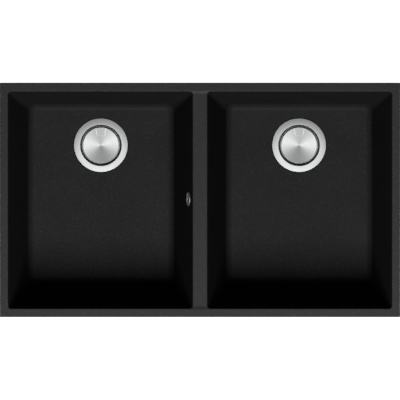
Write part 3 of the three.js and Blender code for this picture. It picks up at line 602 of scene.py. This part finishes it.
class Mould:
    """Numbers of the sink that several of its surfaces share, all for the left bowl."""

    def __init__(self, sizes):
        self.s = sizes
        self.half_width = (RIM_HIGH.x - sizes.side_rim - sizes.divider / 2) / 2
        self.half_length = RIM_HIGH.y - sizes.end_rim
        self.centre = -(sizes.divider / 2 + self.half_width)
        self.waste = np.array([[WASTE_X["left"] - self.centre], [WASTE_Y]])
        self.outer_depth = sizes.wall - FLOOR
        self.across = sizes.wall / math.cos(sizes.side_draft)

    def inset(self, depth, lean, top, cove, full):
        """How far a wall stands in at a depth, where the rim lies lowered to top: round the
        lip, along the leaning wall, then round the cove that ends level at the full depth."""
        lip = self.s.lip
        below = np.clip(depth - top, 0, lip)
        reach = lip * math.tan(math.pi / 4 - lean / 2)
        on_lip = top * math.tan(lean) + np.sqrt(lip**2 - (lip - below) ** 2) - reach
        centre = (full - cove) * math.tan(lean) + cove / math.cos(lean)
        in_cove = centre - np.sqrt(np.clip(cove**2 - (depth - full + cove) ** 2, 0, None))
        straight = depth * math.tan(lean)
        bent = np.where(depth > full - cove * (1 - math.sin(lean)), in_cove, straight)
        return np.where(depth - top < lip * (1 - math.sin(lean)), on_lip, bent)

    def ring(self, depth, top=0.0, cove=None, full=None, offset=0.0):
        """Points of the bowl at given depths, or of the outer skin at an offset outside."""
        s = self.s
        cove = s.cove if cove is None else cove
        full = s.depth if full is None else full
        depth, top, offset = np.broadcast_arrays(depth, top, offset)
        inset_x = self.inset(depth, s.side_draft, top, cove, full)
        inset_y = self.inset(depth, s.end_draft, top, cove, full)
        upright = s.corner_top + (s.corner_foot - s.corner_top) * np.minimum(depth / full, 1)
        corner = upright - (inset_x - depth * math.tan(s.side_draft)) + offset
        corner = np.maximum(corner, MM)
        half_x = self.half_width - inset_x + offset
        half_y = self.half_length - inset_y + offset
        return RING.points(-half_x, half_x, -half_y, half_y, [(corner, corner)] * 4)

    def lowered(self, xy, drop, end, ramp):
        """How far the divider lies lowered at a point: fully along its middle, curving up to
        the rim over a ramp at each end, and level with it beside the bowls' upright corners."""
        x, y = abs(xy[0] + self.centre), abs(xy[1])
        along = 1 - np.clip((y - end + ramp) / ramp, 0, 1) ** 2
        near, width = self.s.divider / 2 + self.s.corner_top, 2 * self.s.corner_top
        return drop * along * (1 - smooth((x - near) / width))

    def border(self, inset, ring):
        """The edge of this half of the rim plate: the sink's outline, and the middle line of
        the divider, whose corners run out square. A ring says where the bowl's corners end."""
        left, back = RIM_LOW.x + inset - self.centre, RIM_HIGH.y - inset
        right = -self.centre
        inner = (right - ring[0, RING.arc_steps], back - ring[1, RING.per_corner])
        outer = (self.s.rim_corner - inset / 2,) * 2
        return RING.points(left, right, -back, back, [inner, inner, outer, outer], square=(0, 1))


def moulded_half(m):
    """The left half of the sink as one skin that starts at the rim plate's edge, goes down the
    bowl, through the waste hole and up the outside, and the strip round the plate's edge."""
    s = m.s

    # Top of the rim and round the lip: the ring lies lowered along the divider
    end = m.half_length + s.lip * math.tan(math.pi / 4 - s.side_draft / 2)
    top = m.lowered(m.ring(0), s.drop, end, s.ramp)
    turn = np.linspace(0, math.pi / 2 - s.side_draft, 9)[:, None]
    lip_depth = top + s.lip * (1 - np.cos(turn))
    lip = m.ring(lip_depth, top)
    edge = m.border(s.bevel, lip[:, 0])
    plate = between(edge, lip[:, 0], np.linspace(0, 1, 19)[:-1])
    rows = [raised(plate, -m.lowered(plate, s.drop, end, s.ramp)), raised(lip, -lip_depth)]

    # Wall and cove, whose foot falls towards the back, where it is level with the waste
    full = s.depth - (FLOOR + s.depth) * smooth(m.ring(s.depth)[1] / s.fall)
    cove_start = full - s.cove * (1 - math.sin(s.side_draft))
    depth = onward(lip_depth[-1], cove_start, 8)
    rows.append(raised(m.ring(depth, top, full=full), -depth))
    turn = onward(s.side_draft, math.pi / 2, 14)
    depth = full - s.cove * (1 - np.sin(turn))
    cove = m.ring(depth, full=full)
    rows.append(raised(cove, -depth))

    # Floor, falling to the recess, then down its edge and through the hole
    from_corner = np.arange(RING.count) - RING.arc_steps / 2
    bearing = -math.pi / 4 + from_corner * 2 * math.pi / RING.count
    circle = polar(1, bearing)
    share = np.linspace(0, 1, 15)[1:]
    floor = between(cove[:, -1], m.waste + s.recess_radius * circle, share)
    rows.append(raised(floor, -full + (FLOOR + full) * smooth(share[:, None] * 0.9)))
    low, under = FLOOR - s.recess, FLOOR - s.wall
    r, small = s.recess_radius, 0.8 * MM
    profile = rounded([(r, FLOOR), (r - 0.1 * MM, low, small), (s.hole, low, small),
                       (s.hole, under, small), (s.hole + 4 * MM, under)], 4)
    hole = m.waste[:, None] + profile[:, :1] * circle[:, None]
    rows.append(raised(hole, profile[:, 1:]))

    # The outside, from the hole to the fillet under the rim
    outer = {"cove": s.cove + s.wall, "full": m.outer_depth}
    foot = m.ring(m.outer_depth, offset=m.across, **outer)
    rows.append(raised(between(hole[:, -1], foot, np.linspace(0, 1, 9)[1:]), under))
    turn = onward(math.pi / 2, s.side_draft, 12)
    depth = m.outer_depth - outer["cove"] * (1 - np.sin(turn))
    rows.append(raised(m.ring(depth, offset=m.across, **outer), -depth))
    bridge_end = m.half_length - s.corner_foot + s.fillet

    def sag(xy):
        """How far the divider's underside lies below the rim plate's."""
        return m.lowered(xy, s.drop + s.bridge - s.rim, bridge_end, 2 * s.fillet)

    hang = s.rim + sag(m.ring(s.rim, offset=m.across + s.fillet, **outer))
    depth = onward(depth[-1], hang + s.fillet, 8)
    rows.append(raised(m.ring(depth, offset=m.across, **outer), -depth))
    turn = onward(0, math.pi / 2, 6)
    depth = hang + s.fillet * (1 - np.sin(turn))
    fillet = m.ring(depth, offset=m.across + s.fillet * (1 - np.cos(turn)), **outer)
    rows.append(raised(fillet, -depth))
    rim = m.border(0, fillet[:, -1])
    plate = between(fillet[:, -1], rim, np.linspace(0, 1, 5)[1:])
    rows.append(raised(plate, -s.rim - sag(plate)))

    # Round the plate's outer edge, from one end of the divider to the other
    half_corner = RING.arc_steps // 2
    columns = np.arange(RING.per_corner, RING.count + 1) + half_corner
    turn = np.linspace(0, math.pi / 2, 4)
    bevel = raised(between(edge, rim, np.sin(turn)), -s.bevel * (1 - np.cos(turn[:, None])))
    strip = np.concatenate([bevel, raised(rim[:, None], -s.rim)])[:, columns % RING.count]
    return [points + np.array([m.centre, 0, 0]) for points in (np.concatenate(rows), strip)]


def sink_moulding():
    """Both halves of the sink, the right one mirrored, with the hole for the overflow."""
    m = Mould(bpy.context.scene.sink_sizes)
    surfaces = []
    for side in (1, -1):
        for points, closed in zip(moulded_half(m), (True, False)):
            surfaces.append(skin(points * np.array([side, 1, 1]), closed))
    hole = moved(rod(OVERFLOW_HOLE, -20, 6), OVERFLOW)
    form("sink_body", surfaces, [hole], name="sink_moulding")


# ---------------- the wastes
# Sizes are in millimetres about each waste's axis, with height 0 at the bowl's floor.

def waste_cup(side):
    """The pressed cup: a crowned flange rolls into a straight cup, which steps in to the seat
    of the plug. Its bottom has six slots and the hole for the clamp screw."""
    cup = lathe((0, -42.2), (33.6, -42.2, 1.6), (33.6, -37.6, 0.6), (36.6, -37.6, 1.6),
                (42.2, -28.6, 8), (43.3, 0, 1.8), (55.2, -1, 0.25), (55.2, -0.25, 0.35),
                (49, 0.62, 20), (42.1, 1.55, 1.2), (41, -28, 8), (36, -36.4, 1.2),
                (32.4, -36.4, 0.6), (32.4, -41, 1), (0, -41), steps=160, arc=8)
    turn = np.radians(np.linspace(-23, 23, 13))
    slot = prism(np.concatenate([polar(29, turn).T, polar(12, -turn).T]), -44, -39)
    tools = [rod(3.5, -44, -39, 32), *around(slot, 6)]
    form(f"{side}_waste_cup", [cup], tools, at=WASTES[side])


def waste_seals(side):
    """The flange's gasket in its recess, and the seal under the floor."""
    form(f"{side}_flange_gasket", [washer(45.5, 53.8, -2.7, -1.2, 0.5)], at=WASTES[side])
    form(f"{side}_floor_seal", [washer(45.5, 56.6, -12.3, -9.3, 0.8)], at=WASTES[side])


def outlet_thread(grid, low, high, pitch, depth, bore=23):
    """Cuts a round thread into the outside of a turned grid: beyond the bore, the radius falls
    and rises once a turn, fading out at both ends."""
    radius, angle = axial(grid)
    height = grid[..., 2] / MM
    fade = smooth((height - low) / pitch) * smooth((high - height) / pitch)
    wave = 0.5 - 0.5 * np.cos(2 * np.pi * height / pitch - angle)
    outside = radius > bore * MM
    grid[..., :2] *= (1 - outside * fade * wave**2 * depth * MM / radius)[..., None]
    return grid


def waste_body(side):
    """The plastic housing: flange and ribs under the seal, a chamber round the cup, a cone to
    the threaded outlet tail, a side inlet, and a boss on three webs for the clamp nut."""
    thread = [(23.9, z) for z in np.linspace(-64, -86.4, 100)]
    profile = rounded([(28, -62.2, 0.6), (23.9, -62.2, 0.6), *thread, (23.9, -88.2, 0.6),
                       (19.5, -88.2, 0.6), (19.5, -58.2, 3), (47.3, -46.2, 4), (47.3, -12.6, 0.5),
                       (58, -12.6, 0.6), (58, -16.6, 0.6), (50.3, -16.6, 1), (50.3, -46.2, 4),
                       (28, -58.2, 2)], 5)
    shell = skin(outlet_thread(wheel(profile * MM, 128), -87, -63, 2.8, 1.1))
    boss = lathe((3.5, -42.5, 0.3), (8, -42.5, 0.8), (8, -56.5, 0.8), (6.1, -56.5),
                 (6.1, -51.7), (3.5, -51.7), steps=48)
    web = slab([(7.5, 1.5, -56.5, -46.5), (23.6, 1.5, -56.5, -46.5), (48, 1.5, -47, -46.5)])
    rib = slab([(48.8, 1.5, -30.6, -14.6), (55, 1.5, -15.8, -14.6)])
    side_inlet = moved(spigot(47, 62, 48), shift(0, 0, -35) @ spin(90, "Y"))
    surfaces = [shell, boss, side_inlet, *around(web, 3, 60), *around(rib, 8, 22.5)]
    form(f"{side}_waste_body", surfaces, at=housing(side))


def hexagon_nut(radius, low, high, bore):
    """A hexagon nut: six flats, with its outer edges turned off round by a shallow cone."""
    profile = rounded([(bore, low, 0.2), (radius, low), (radius, high), (bore, high, 0.2)], 4)
    line = np.concatenate([profile[:5], np.linspace(profile[5], profile[6], 13)[1:-1],
                           profile[6:]])
    grid = wheel(line * MM, 96)
    radii, angle = axial(grid)
    reach = radii / MM
    flat = math.cos(math.pi / 6) / np.cos((angle + np.pi / 6) % (np.pi / 3) - np.pi / 6)
    edge = np.minimum(grid[..., 2] / MM - low, high - grid[..., 2] / MM)
    hexed = np.minimum(reach * flat, radius * 0.93 + 2 * edge) / reach
    grid[..., :2] *= np.where(reach > bore + 0.3, hexed, 1)[..., None]
    return skin(grid)


def clamp(side):
    """The slotted screw in the cup's bottom and the nut in the body's boss."""
    screw = lathe((0, -58.5), (3, -58.5, 0.8), (3, -40.7, 0.2), (6, -40.7, 0.3), (6, -38.7, 1.2),
                  (0, -38.7), steps=48)
    slot = slab([(-7, 0.6, -39.7, -37), (7, 0.6, -39.7, -37)], 0.1, 1)
    form(f"{side}_clamp_screw", [screw], [slot], at=WASTES[side])
    form(f"{side}_clamp_nut", [hexagon_nut(5.8, -56.5, -52, 3.3)], at=housing(side))


def strainer(side):
    """The basket with round holes in its floor and upright slots in its wall, the post with
    its knob, and the rubber plug with its nut."""
    here = WASTES[side]
    basket = lathe((0, -27), (31.6, -27, 4), (35.6, -9, 0.8), (40.2, -10.4, 0.3),
                   (40.4, -9.4, 0.4), (38.2, -6.6, 0.6), (37.7, -7.5, 0.5), (34.6, -7.5, 1.4),
                   (30.6, -26, 3), (0, -26), steps=160, arc=8)
    holes = [copy for radius, count in ((13, 6), (22, 11))
             for copy in around(moved(rod(2.2, -29, -24, 24), shift(radius, 0, 0)), count)]
    slot = moved(stadium(4.5, 2.5, 26, 40), shift(0, 0, -16.75) @ spin(90, "Y"))
    tools = [rod(3.5, -29, -24, 32), *holes, *around(slot, 10)]
    form(f"{side}_basket", [basket], tools, at=here)
    post = lathe((0, -37.9), (2, -37.9, 0.4), (2, -33.2), (5.5, -33.2, 0.5), (5.5, -27.3, 0.5),
                 (3, -27.3), (3, -14, 0.8), (5.5, -13, 1.3), (5.5, -9.5, 1.6), (0, -9.5), steps=48)
    form(f"{side}_basket_post", [post], at=here)
    plug = lathe((2.3, -36.1), (34, -36.1, 0.5), (34, -35.2, 0.5), (33.1, -33.5, 0.7),
                 (2.3, -33.5), steps=128)
    form(f"{side}_basket_plug", [plug], at=here)
    form(f"{side}_plug_nut", [hexagon_nut(5, -37.9, -36.4, 2.3)], at=here)


def finger_recess(x, y):
    """0 outside the finger recess at the cover's back edge, 1 inside: a trapezium that narrows
    away from the edge and ends in two round corners, with a sloped step round it."""
    end, half, corner, flare, run, step = 19.2, 8.0, 5.0, 2.5, 17.7, 1.8
    wide = half + flare * np.clip((y - end) / run, 0, 1)
    across, below = abs(x) - wide + corner, end + corner - y
    outside = np.hypot(np.maximum(across, 0), np.maximum(below, 0)) - corner
    outside = np.where((across < 0) & (below < 0), np.maximum(across, below) - corner, outside)
    return smooth(0.5 - outside / step)


def cover(side):
    """The cover: a shallow cone, lowest in the middle, whose edge rounds into a short skirt.
    The finger recess is pressed into it, so the underside follows. Three feet hang below."""
    here = WASTES[side]
    radius, edge, dish, sheet, corner, recess, skirt = 37.1, -0.5, 1.4, 1.3, 0.8, 0.06, -3.1
    angle = np.arange(360) * 2 * np.pi / 360
    reach = np.linspace(0, radius - corner, 110)[:, None]

    def face(reach, drop):
        """The cover's top at a distance from its axis, or a drop under it."""
        xy = polar(reach, angle)
        return raised(xy, edge - dish * (1 - reach / radius) - recess * finger_recess(*xy) - drop)

    top = face(reach, 0)
    turn = onward(0, np.pi / 2, 7)
    rounding = face(radius - corner + corner * np.sin(turn), 0)
    rounding[..., 2] -= corner * (1 - np.cos(turn))
    rim = [raised(polar(r, angle), z)
           for r, z in ((radius, skirt + 0.2), (radius - 0.2, skirt), (radius - sheet, skirt))]
    below = face(reach[::-1] * (radius - sheet) / (radius - corner), sheet)
    rows = np.concatenate([top, rounding, np.array(rim), below])
    foot = [slab([(34.65, 4.5, -7.2, -2.4), (36.25, 4.5, -7.2, -2.4)]),
            slab([(31.5, 4.5, -7.2, -5.6), (36.25, 4.5, -7.2, -5.6)]),
            slab([(31.5, 4.5, -10.2, -5.7), (33.1, 4.5, -10.2, -5.7)])]
    feet = [copy for part in foot for copy in around(part, 3, 90)]
    part = form(f"{side}_waste_cover", [skin(rows * MM), *feet], at=here, sharp=50)

    # A painted highlight along the recess's step: the steel's colour is made lighter there, which also offsets
    # the shade on the step's slope
    points = np.empty(len(part.data.vertices) * 3)
    part.data.vertices.foreach_get("co", points)
    x, y, z = (points.reshape(-1, 3) - np.array(here.translation)).T / MM
    pressed = finger_recess(x, y)
    painted_step_highlight = part.data.attributes.new("painted_step_highlight", "FLOAT", "POINT")
    painted_step_highlight.data.foreach_set("value", 4 * pressed * (1 - pressed) * (z > skirt + 0.5))


# ---------------- the overflow
# Sizes are in millimetres, with height 0 at the wall's inner face.

def overflow_fittings():
    """The slotted round cover with its screw, the seal, and the chamber with its spout."""
    rosette = lathe((0, 2), (12.3, 2, 2), (14.5, 0.3, 0.1), (15.5, 0.3, 0.3), (15.5, 1.2, 0.6),
                    (12.8, 3, 3), (0, 3), steps=128, arc=8)
    slot = moved(stadium(3.4, 1.2, 0, 5), shift(8, 0, 0))
    form("overflow_rosette", [rosette], [rod(2.3, 0, 5, 32), *around(slot, 6)], at=OVERFLOW)
    screw = lathe((0, -21.5), (1.8, -21.5, 0.5), (1.8, 3.1), (3.6, 3.1, 0.2), (3.6, 4.1, 0.8),
                  (0, 4.1), steps=48)
    slot = slab([(-5, 0.6, 3.4, 7), (5, 0.6, 3.4, 7)], 0.1, 1)
    form("overflow_screw", [screw], [slot], at=OVERFLOW)
    form("overflow_seal", [washer(12.5, 15, -11.3, -9.3, 0.5)], at=OVERFLOW)
    chamber = lathe((0, -30.5), (10.5, -30.5, 3), (12.8, -14.2, 0.5), (15, -14.2, 0.5),
                    (15, -11.6, 0.5), (10.8, -11.6, 0.3), (10.8, -14.2, 1), (8.5, -28.5, 1.5),
                    (0, -28.5), steps=128)
    boss = lathe((2.1, -21.5), (2.1, -11.6), (3.6, -11.6, 0.4), (3.6, -29.5), (2.1, -29.5),
                 steps=32)
    spout = moved(spigot(-16, 0, 64), SPOUT_END)
    form("overflow_chamber", [moved(chamber, OVERFLOW), moved(boss, OVERFLOW), spout])


def fluted(*corners, flutes=10, depth=0.7, grip=11.2):
    """A turned surface from corners (radius, height, rounding) in millimetres, hollowed beyond
    its grip radius by flutes, each a narrow valley."""
    grid = wheel(rounded(corners, 5) * MM, 240)
    radius, angle = axial(grid)
    valley = (0.5 + 0.5 * np.cos(flutes * angle)) ** 3 * depth * MM
    grid[..., :2] *= (1 - (radius > grip * MM) * valley / np.maximum(radius, MM))[..., None]
    return skin(grid)


def unions():
    """The union nuts on both ends of the hose, and the cap and washer on the unused inlet."""
    nut = fluted((9.5, -7, 0.4), (12.1, -7, 0.8), (12.1, 9, 0.8), (9.5, 9, 0.4))
    form("upper_union_nut", [nut], at=SPOUT_END)
    form("lower_union_nut", [nut], at=inlet("left"))
    cap = fluted((9.5, -7, 0.4), (12.1, -7, 0.8), (12.1, 18.7, 1.6), (0, 18.7), (0, 16.1),
                 (9.5, 16.1, 0.5))
    form("inlet_cap", [cap], at=inlet("right"))
    form("inlet_cap_washer", [washer(4.7, 9.2, 14.3, 15.8, 0.3)], at=inlet("right"))


def hose_route(count):
    """Points along the hose's middle line and its directions there: straight down from the
    spout, a quarter turn, then level to the left waste's inlet."""
    clearance, bend = 0.3 * MM, 70 * MM
    start = np.array(SPOUT_END @ Vector((0, 0, clearance)))
    end = np.array(inlet("left") @ Vector((0, 0, clearance)))
    level = end - start
    level[2] = 0
    run = np.linalg.norm(level)
    level /= run
    down = np.array([0, 0, -1.0])
    lengths = np.array([start[2] - end[2] - bend, bend * np.pi / 2, run - bend])
    along = np.linspace(0, lengths.sum(), count)[:, None]
    angle = np.clip((along - lengths[0]) / bend, 0, np.pi / 2)
    upright = np.minimum(along, lengths[0]) + bend * np.sin(angle)
    flat = bend * (1 - np.cos(angle)) + np.clip(along - lengths[0] - lengths[1], 0, None)
    return (start + upright * down + flat * level,
            np.cos(angle) * down + np.sin(angle) * level, np.cross(level, down), along)


def hose():
    """The ribbed hose with a smooth bore: its radius goes from narrow valleys to round crests
    by a power of a cosine, and ends in valleys under the union nuts."""
    pitch, valley, crest, bore = 8 * MM, 7.6 * MM, 9 * MM, 6.6 * MM
    middle_line, direction, across, along = hose_route(460)
    up = np.cross(np.broadcast_to(across, direction.shape), direction)
    ribs = round(float(along[-1, 0]) / pitch)
    wave = 0.5 - 0.5 * np.cos(2 * np.pi * ribs * along / along[-1])
    radius = valley + (crest - valley) * wave**0.6
    turn = np.arange(40) * 2 * np.pi / 40
    ring = np.cos(turn)[:, None] * across + np.sin(turn)[:, None] * up[:, None]
    outer = middle_line[:, None] + radius[:, None] * ring
    inner = (middle_line[:, None] + bore * ring)[::-4]
    form("overflow_hose", [skin(np.concatenate([outer, inner, outer[:1]]))], sharp=60)


# ---------------- the stage

def aim(part, position, target, up):
    """Puts a lamp or camera at a position, looking at a target."""
    back = (Vector(position) - Vector(target)).normalized()
    right = Vector(up).cross(back).normalized()
    part.matrix_world = Matrix.Translation(position) @ Matrix(
        (right, back.cross(right), back)).transposed().to_4x4()


def lamp(name, size, power, place, target):
    """A rectangular area lamp that shines at a target."""
    part = bpy.data.objects.new(name, bpy.data.lights.new(name, "AREA"))
    part.data.shape, part.data.energy = "RECTANGLE", power
    part.data.size, part.data.size_y = size
    upright = (0, 0, 1) if abs((place - target).normalized().z) < 0.5 else (0, 1, 0)
    aim(part, place, target, upright)
    part.visible_camera = False
    bpy.context.scene.collection.objects.link(part)


def build_stage():
    """The camera, the lamps, a pale floor that shows white, and a white world that lights
    the sink only dimly."""
    scene = bpy.context.scene
    s = scene.sink_stage
    rim = Vector((0, 0, RIM_HIGH.z))
    camera = bpy.data.objects.new("camera", bpy.data.cameras.new("camera"))
    camera.data.lens = s.lens
    distance = (RIM_HIGH.x - RIM_LOW.x - s.overfill) * s.lens / camera.data.sensor_width
    direction = Vector((0, math.sin(s.tilt), math.cos(s.tilt)))
    centre = rim + Vector((0, s.offset, 0))
    aim(camera, centre + direction * distance, centre, (0, 1, 0))
    camera.data.clip_start, camera.data.clip_end = 0.1, 3 * distance
    scene.collection.objects.link(camera)
    scene.camera = camera

    lean = Vector((0, -math.sin(s.key_angle), math.cos(s.key_angle)))
    lamp("key_lamp", (s.key_width, s.key_height), s.key_power, rim + lean * s.key_distance, rim)

    # Low lamps all round, under the rim plane, light the outside but never the bowls
    height = CAD_BOX[0].z / 2
    for name, degrees in (("front", -90), ("right", 10), ("left", 190), ("back", 80)):
        turn = math.radians(degrees)
        place = Vector((math.cos(turn), math.sin(turn), 0)) * s.fill_distance
        place.z = height
        lamp(f"{name}_fill", (s.fill_width, -height), s.fill_power, place, Vector((0, 0, height)))

    floor_mesh = bpy.data.meshes.new("floor")
    half_side = 8.0
    corners = [(x * half_side, y * half_side, CAD_BOX[0].z)
               for x, y in ((-1, -1), (1, -1), (1, 1), (-1, 1))]
    floor_mesh.from_pydata(corners, [], [(0, 1, 2, 3)])
    floor = bpy.data.objects.new("floor", floor_mesh)
    scene.collection.objects.link(floor)
    finish = Finish("pale_floor")
    camera_ray, glossy_ray, clear_ray = [
        finish.node("LightPath", output=f"Is {kind} Ray")
        for kind in ("Camera", "Glossy", "Transmission")]
    shown = camera_ray + glossy_ray + clear_ray
    tone = finish.blend(shown, (0.75, 0.75, 0.75), (0.2, 0.2, 0.2))
    paper = finish.node("BsdfDiffuse", {"Color": tone})
    glow = finish.node("Emission", {"Color": (1, 1, 1), "Strength": shown})
    both = finish.node("AddShader", [paper, glow])
    finish.set(finish.tree.nodes["Material Output"].inputs["Surface"], both)
    finish.tree.nodes.remove(finish.shader)
    floor_mesh.materials.append(finish.block)

    sky = Finish("studio", "worlds", "Background")
    camera_ray = sky.node("LightPath", output="Is Camera Ray")
    sky.shade(Color=(1, 1, 1), Strength=sky.range(camera_ray, 0, 1, s.ambient, 1))
    scene.world = sky.block
    scene.view_settings.view_transform = "Standard"


# ---------------- operators

class SINK_OT_finishes(bpy.types.Operator):
    """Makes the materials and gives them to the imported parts"""
    bl_idname = "sink.finishes"
    bl_label = "Finishes"

    def execute(self, context):
        make_finishes()
        for name, part in frame["nodes"].items():
            dress(part, name)
        return {"FINISHED"}


class SINK_OT_moulding(bpy.types.Operator):
    """Builds the moulded sink"""
    bl_idname = "sink.moulding"
    bl_label = "Sink moulding"

    def execute(self, context):
        sink_moulding()
        return {"FINISHED"}


class SINK_OT_wastes(bpy.types.Operator):
    """Builds both wastes under the bowls' floors: cup, seals, body and clamp"""
    bl_idname = "sink.wastes"
    bl_label = "Wastes"

    def execute(self, context):
        for side in SIDES:
            waste_cup(side)
            waste_seals(side)
            waste_body(side)
            clamp(side)
        return {"FINISHED"}


class SINK_OT_strainers(bpy.types.Operator):
    """Builds both strainers: basket, post, plug and nut"""
    bl_idname = "sink.strainers"
    bl_label = "Strainers"

    def execute(self, context):
        for side in SIDES:
            strainer(side)
        return {"FINISHED"}


class SINK_OT_covers(bpy.types.Operator):
    """Builds both flat covers"""
    bl_idname = "sink.covers"
    bl_label = "Covers"

    def execute(self, context):
        for side in SIDES:
            cover(side)
        return {"FINISHED"}


class SINK_OT_overflow(bpy.types.Operator):
    """Builds the overflow: its cover, chamber, hose, nuts and the cap on the unused inlet"""
    bl_idname = "sink.overflow"
    bl_label = "Overflow"

    def execute(self, context):
        overflow_fittings()
        unions()
        hose()
        return {"FINISHED"}


class SINK_OT_stage(bpy.types.Operator):
    """Sets up the camera, the lamps, the floor and the world"""
    bl_idname = "sink.stage"
    bl_label = "Stage"

    def execute(self, context):
        build_stage()
        return {"FINISHED"}


class SINK_PT_panel(bpy.types.Panel):
    """Lists the pieces of the sink"""
    bl_label = "Sink"
    bl_space_type = "VIEW_3D"
    bl_region_type = "UI"
    bl_category = "Sink"

    def draw(self, context):
        for step in STEPS:
            self.layout.operator(step.bl_idname)
        for group in ("sink_sizes", "sink_finishes", "sink_stage"):
            settings = getattr(context.scene, group)
            for name in type(settings).__annotations__:
                self.layout.prop(settings, name)


STEPS = [SINK_OT_stage, SINK_OT_finishes, SINK_OT_moulding, SINK_OT_wastes, SINK_OT_strainers,
         SINK_OT_covers, SINK_OT_overflow]
GROUPS = {"sink_sizes": SinkSizes, "sink_finishes": SinkFinishes, "sink_stage": SinkStage}
CLASSES = [*GROUPS.values(), *STEPS, SINK_PT_panel]


def register():
    """Registers the classes, and gives the scene its settings."""
    for entry in CLASSES:
        bpy.utils.register_class(entry)
    for name, group in GROUPS.items():
        setattr(bpy.types.Scene, name, PointerProperty(type=group))


def unregister():
    """Takes back what register did."""
    for name in GROUPS:
        delattr(bpy.types.Scene, name)
    for entry in reversed(CLASSES):
        bpy.utils.unregister_class(entry)


def main():
    """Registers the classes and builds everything."""
    register()
    bpy.ops.sink.stage()
    bpy.ops.sink.finishes()
    bpy.ops.sink.moulding()
    bpy.ops.sink.wastes()
    bpy.ops.sink.strainers()
    bpy.ops.sink.covers()
    bpy.ops.sink.overflow()
    bpy.context.view_layer.update()


if __name__ == "__main__":
    main()
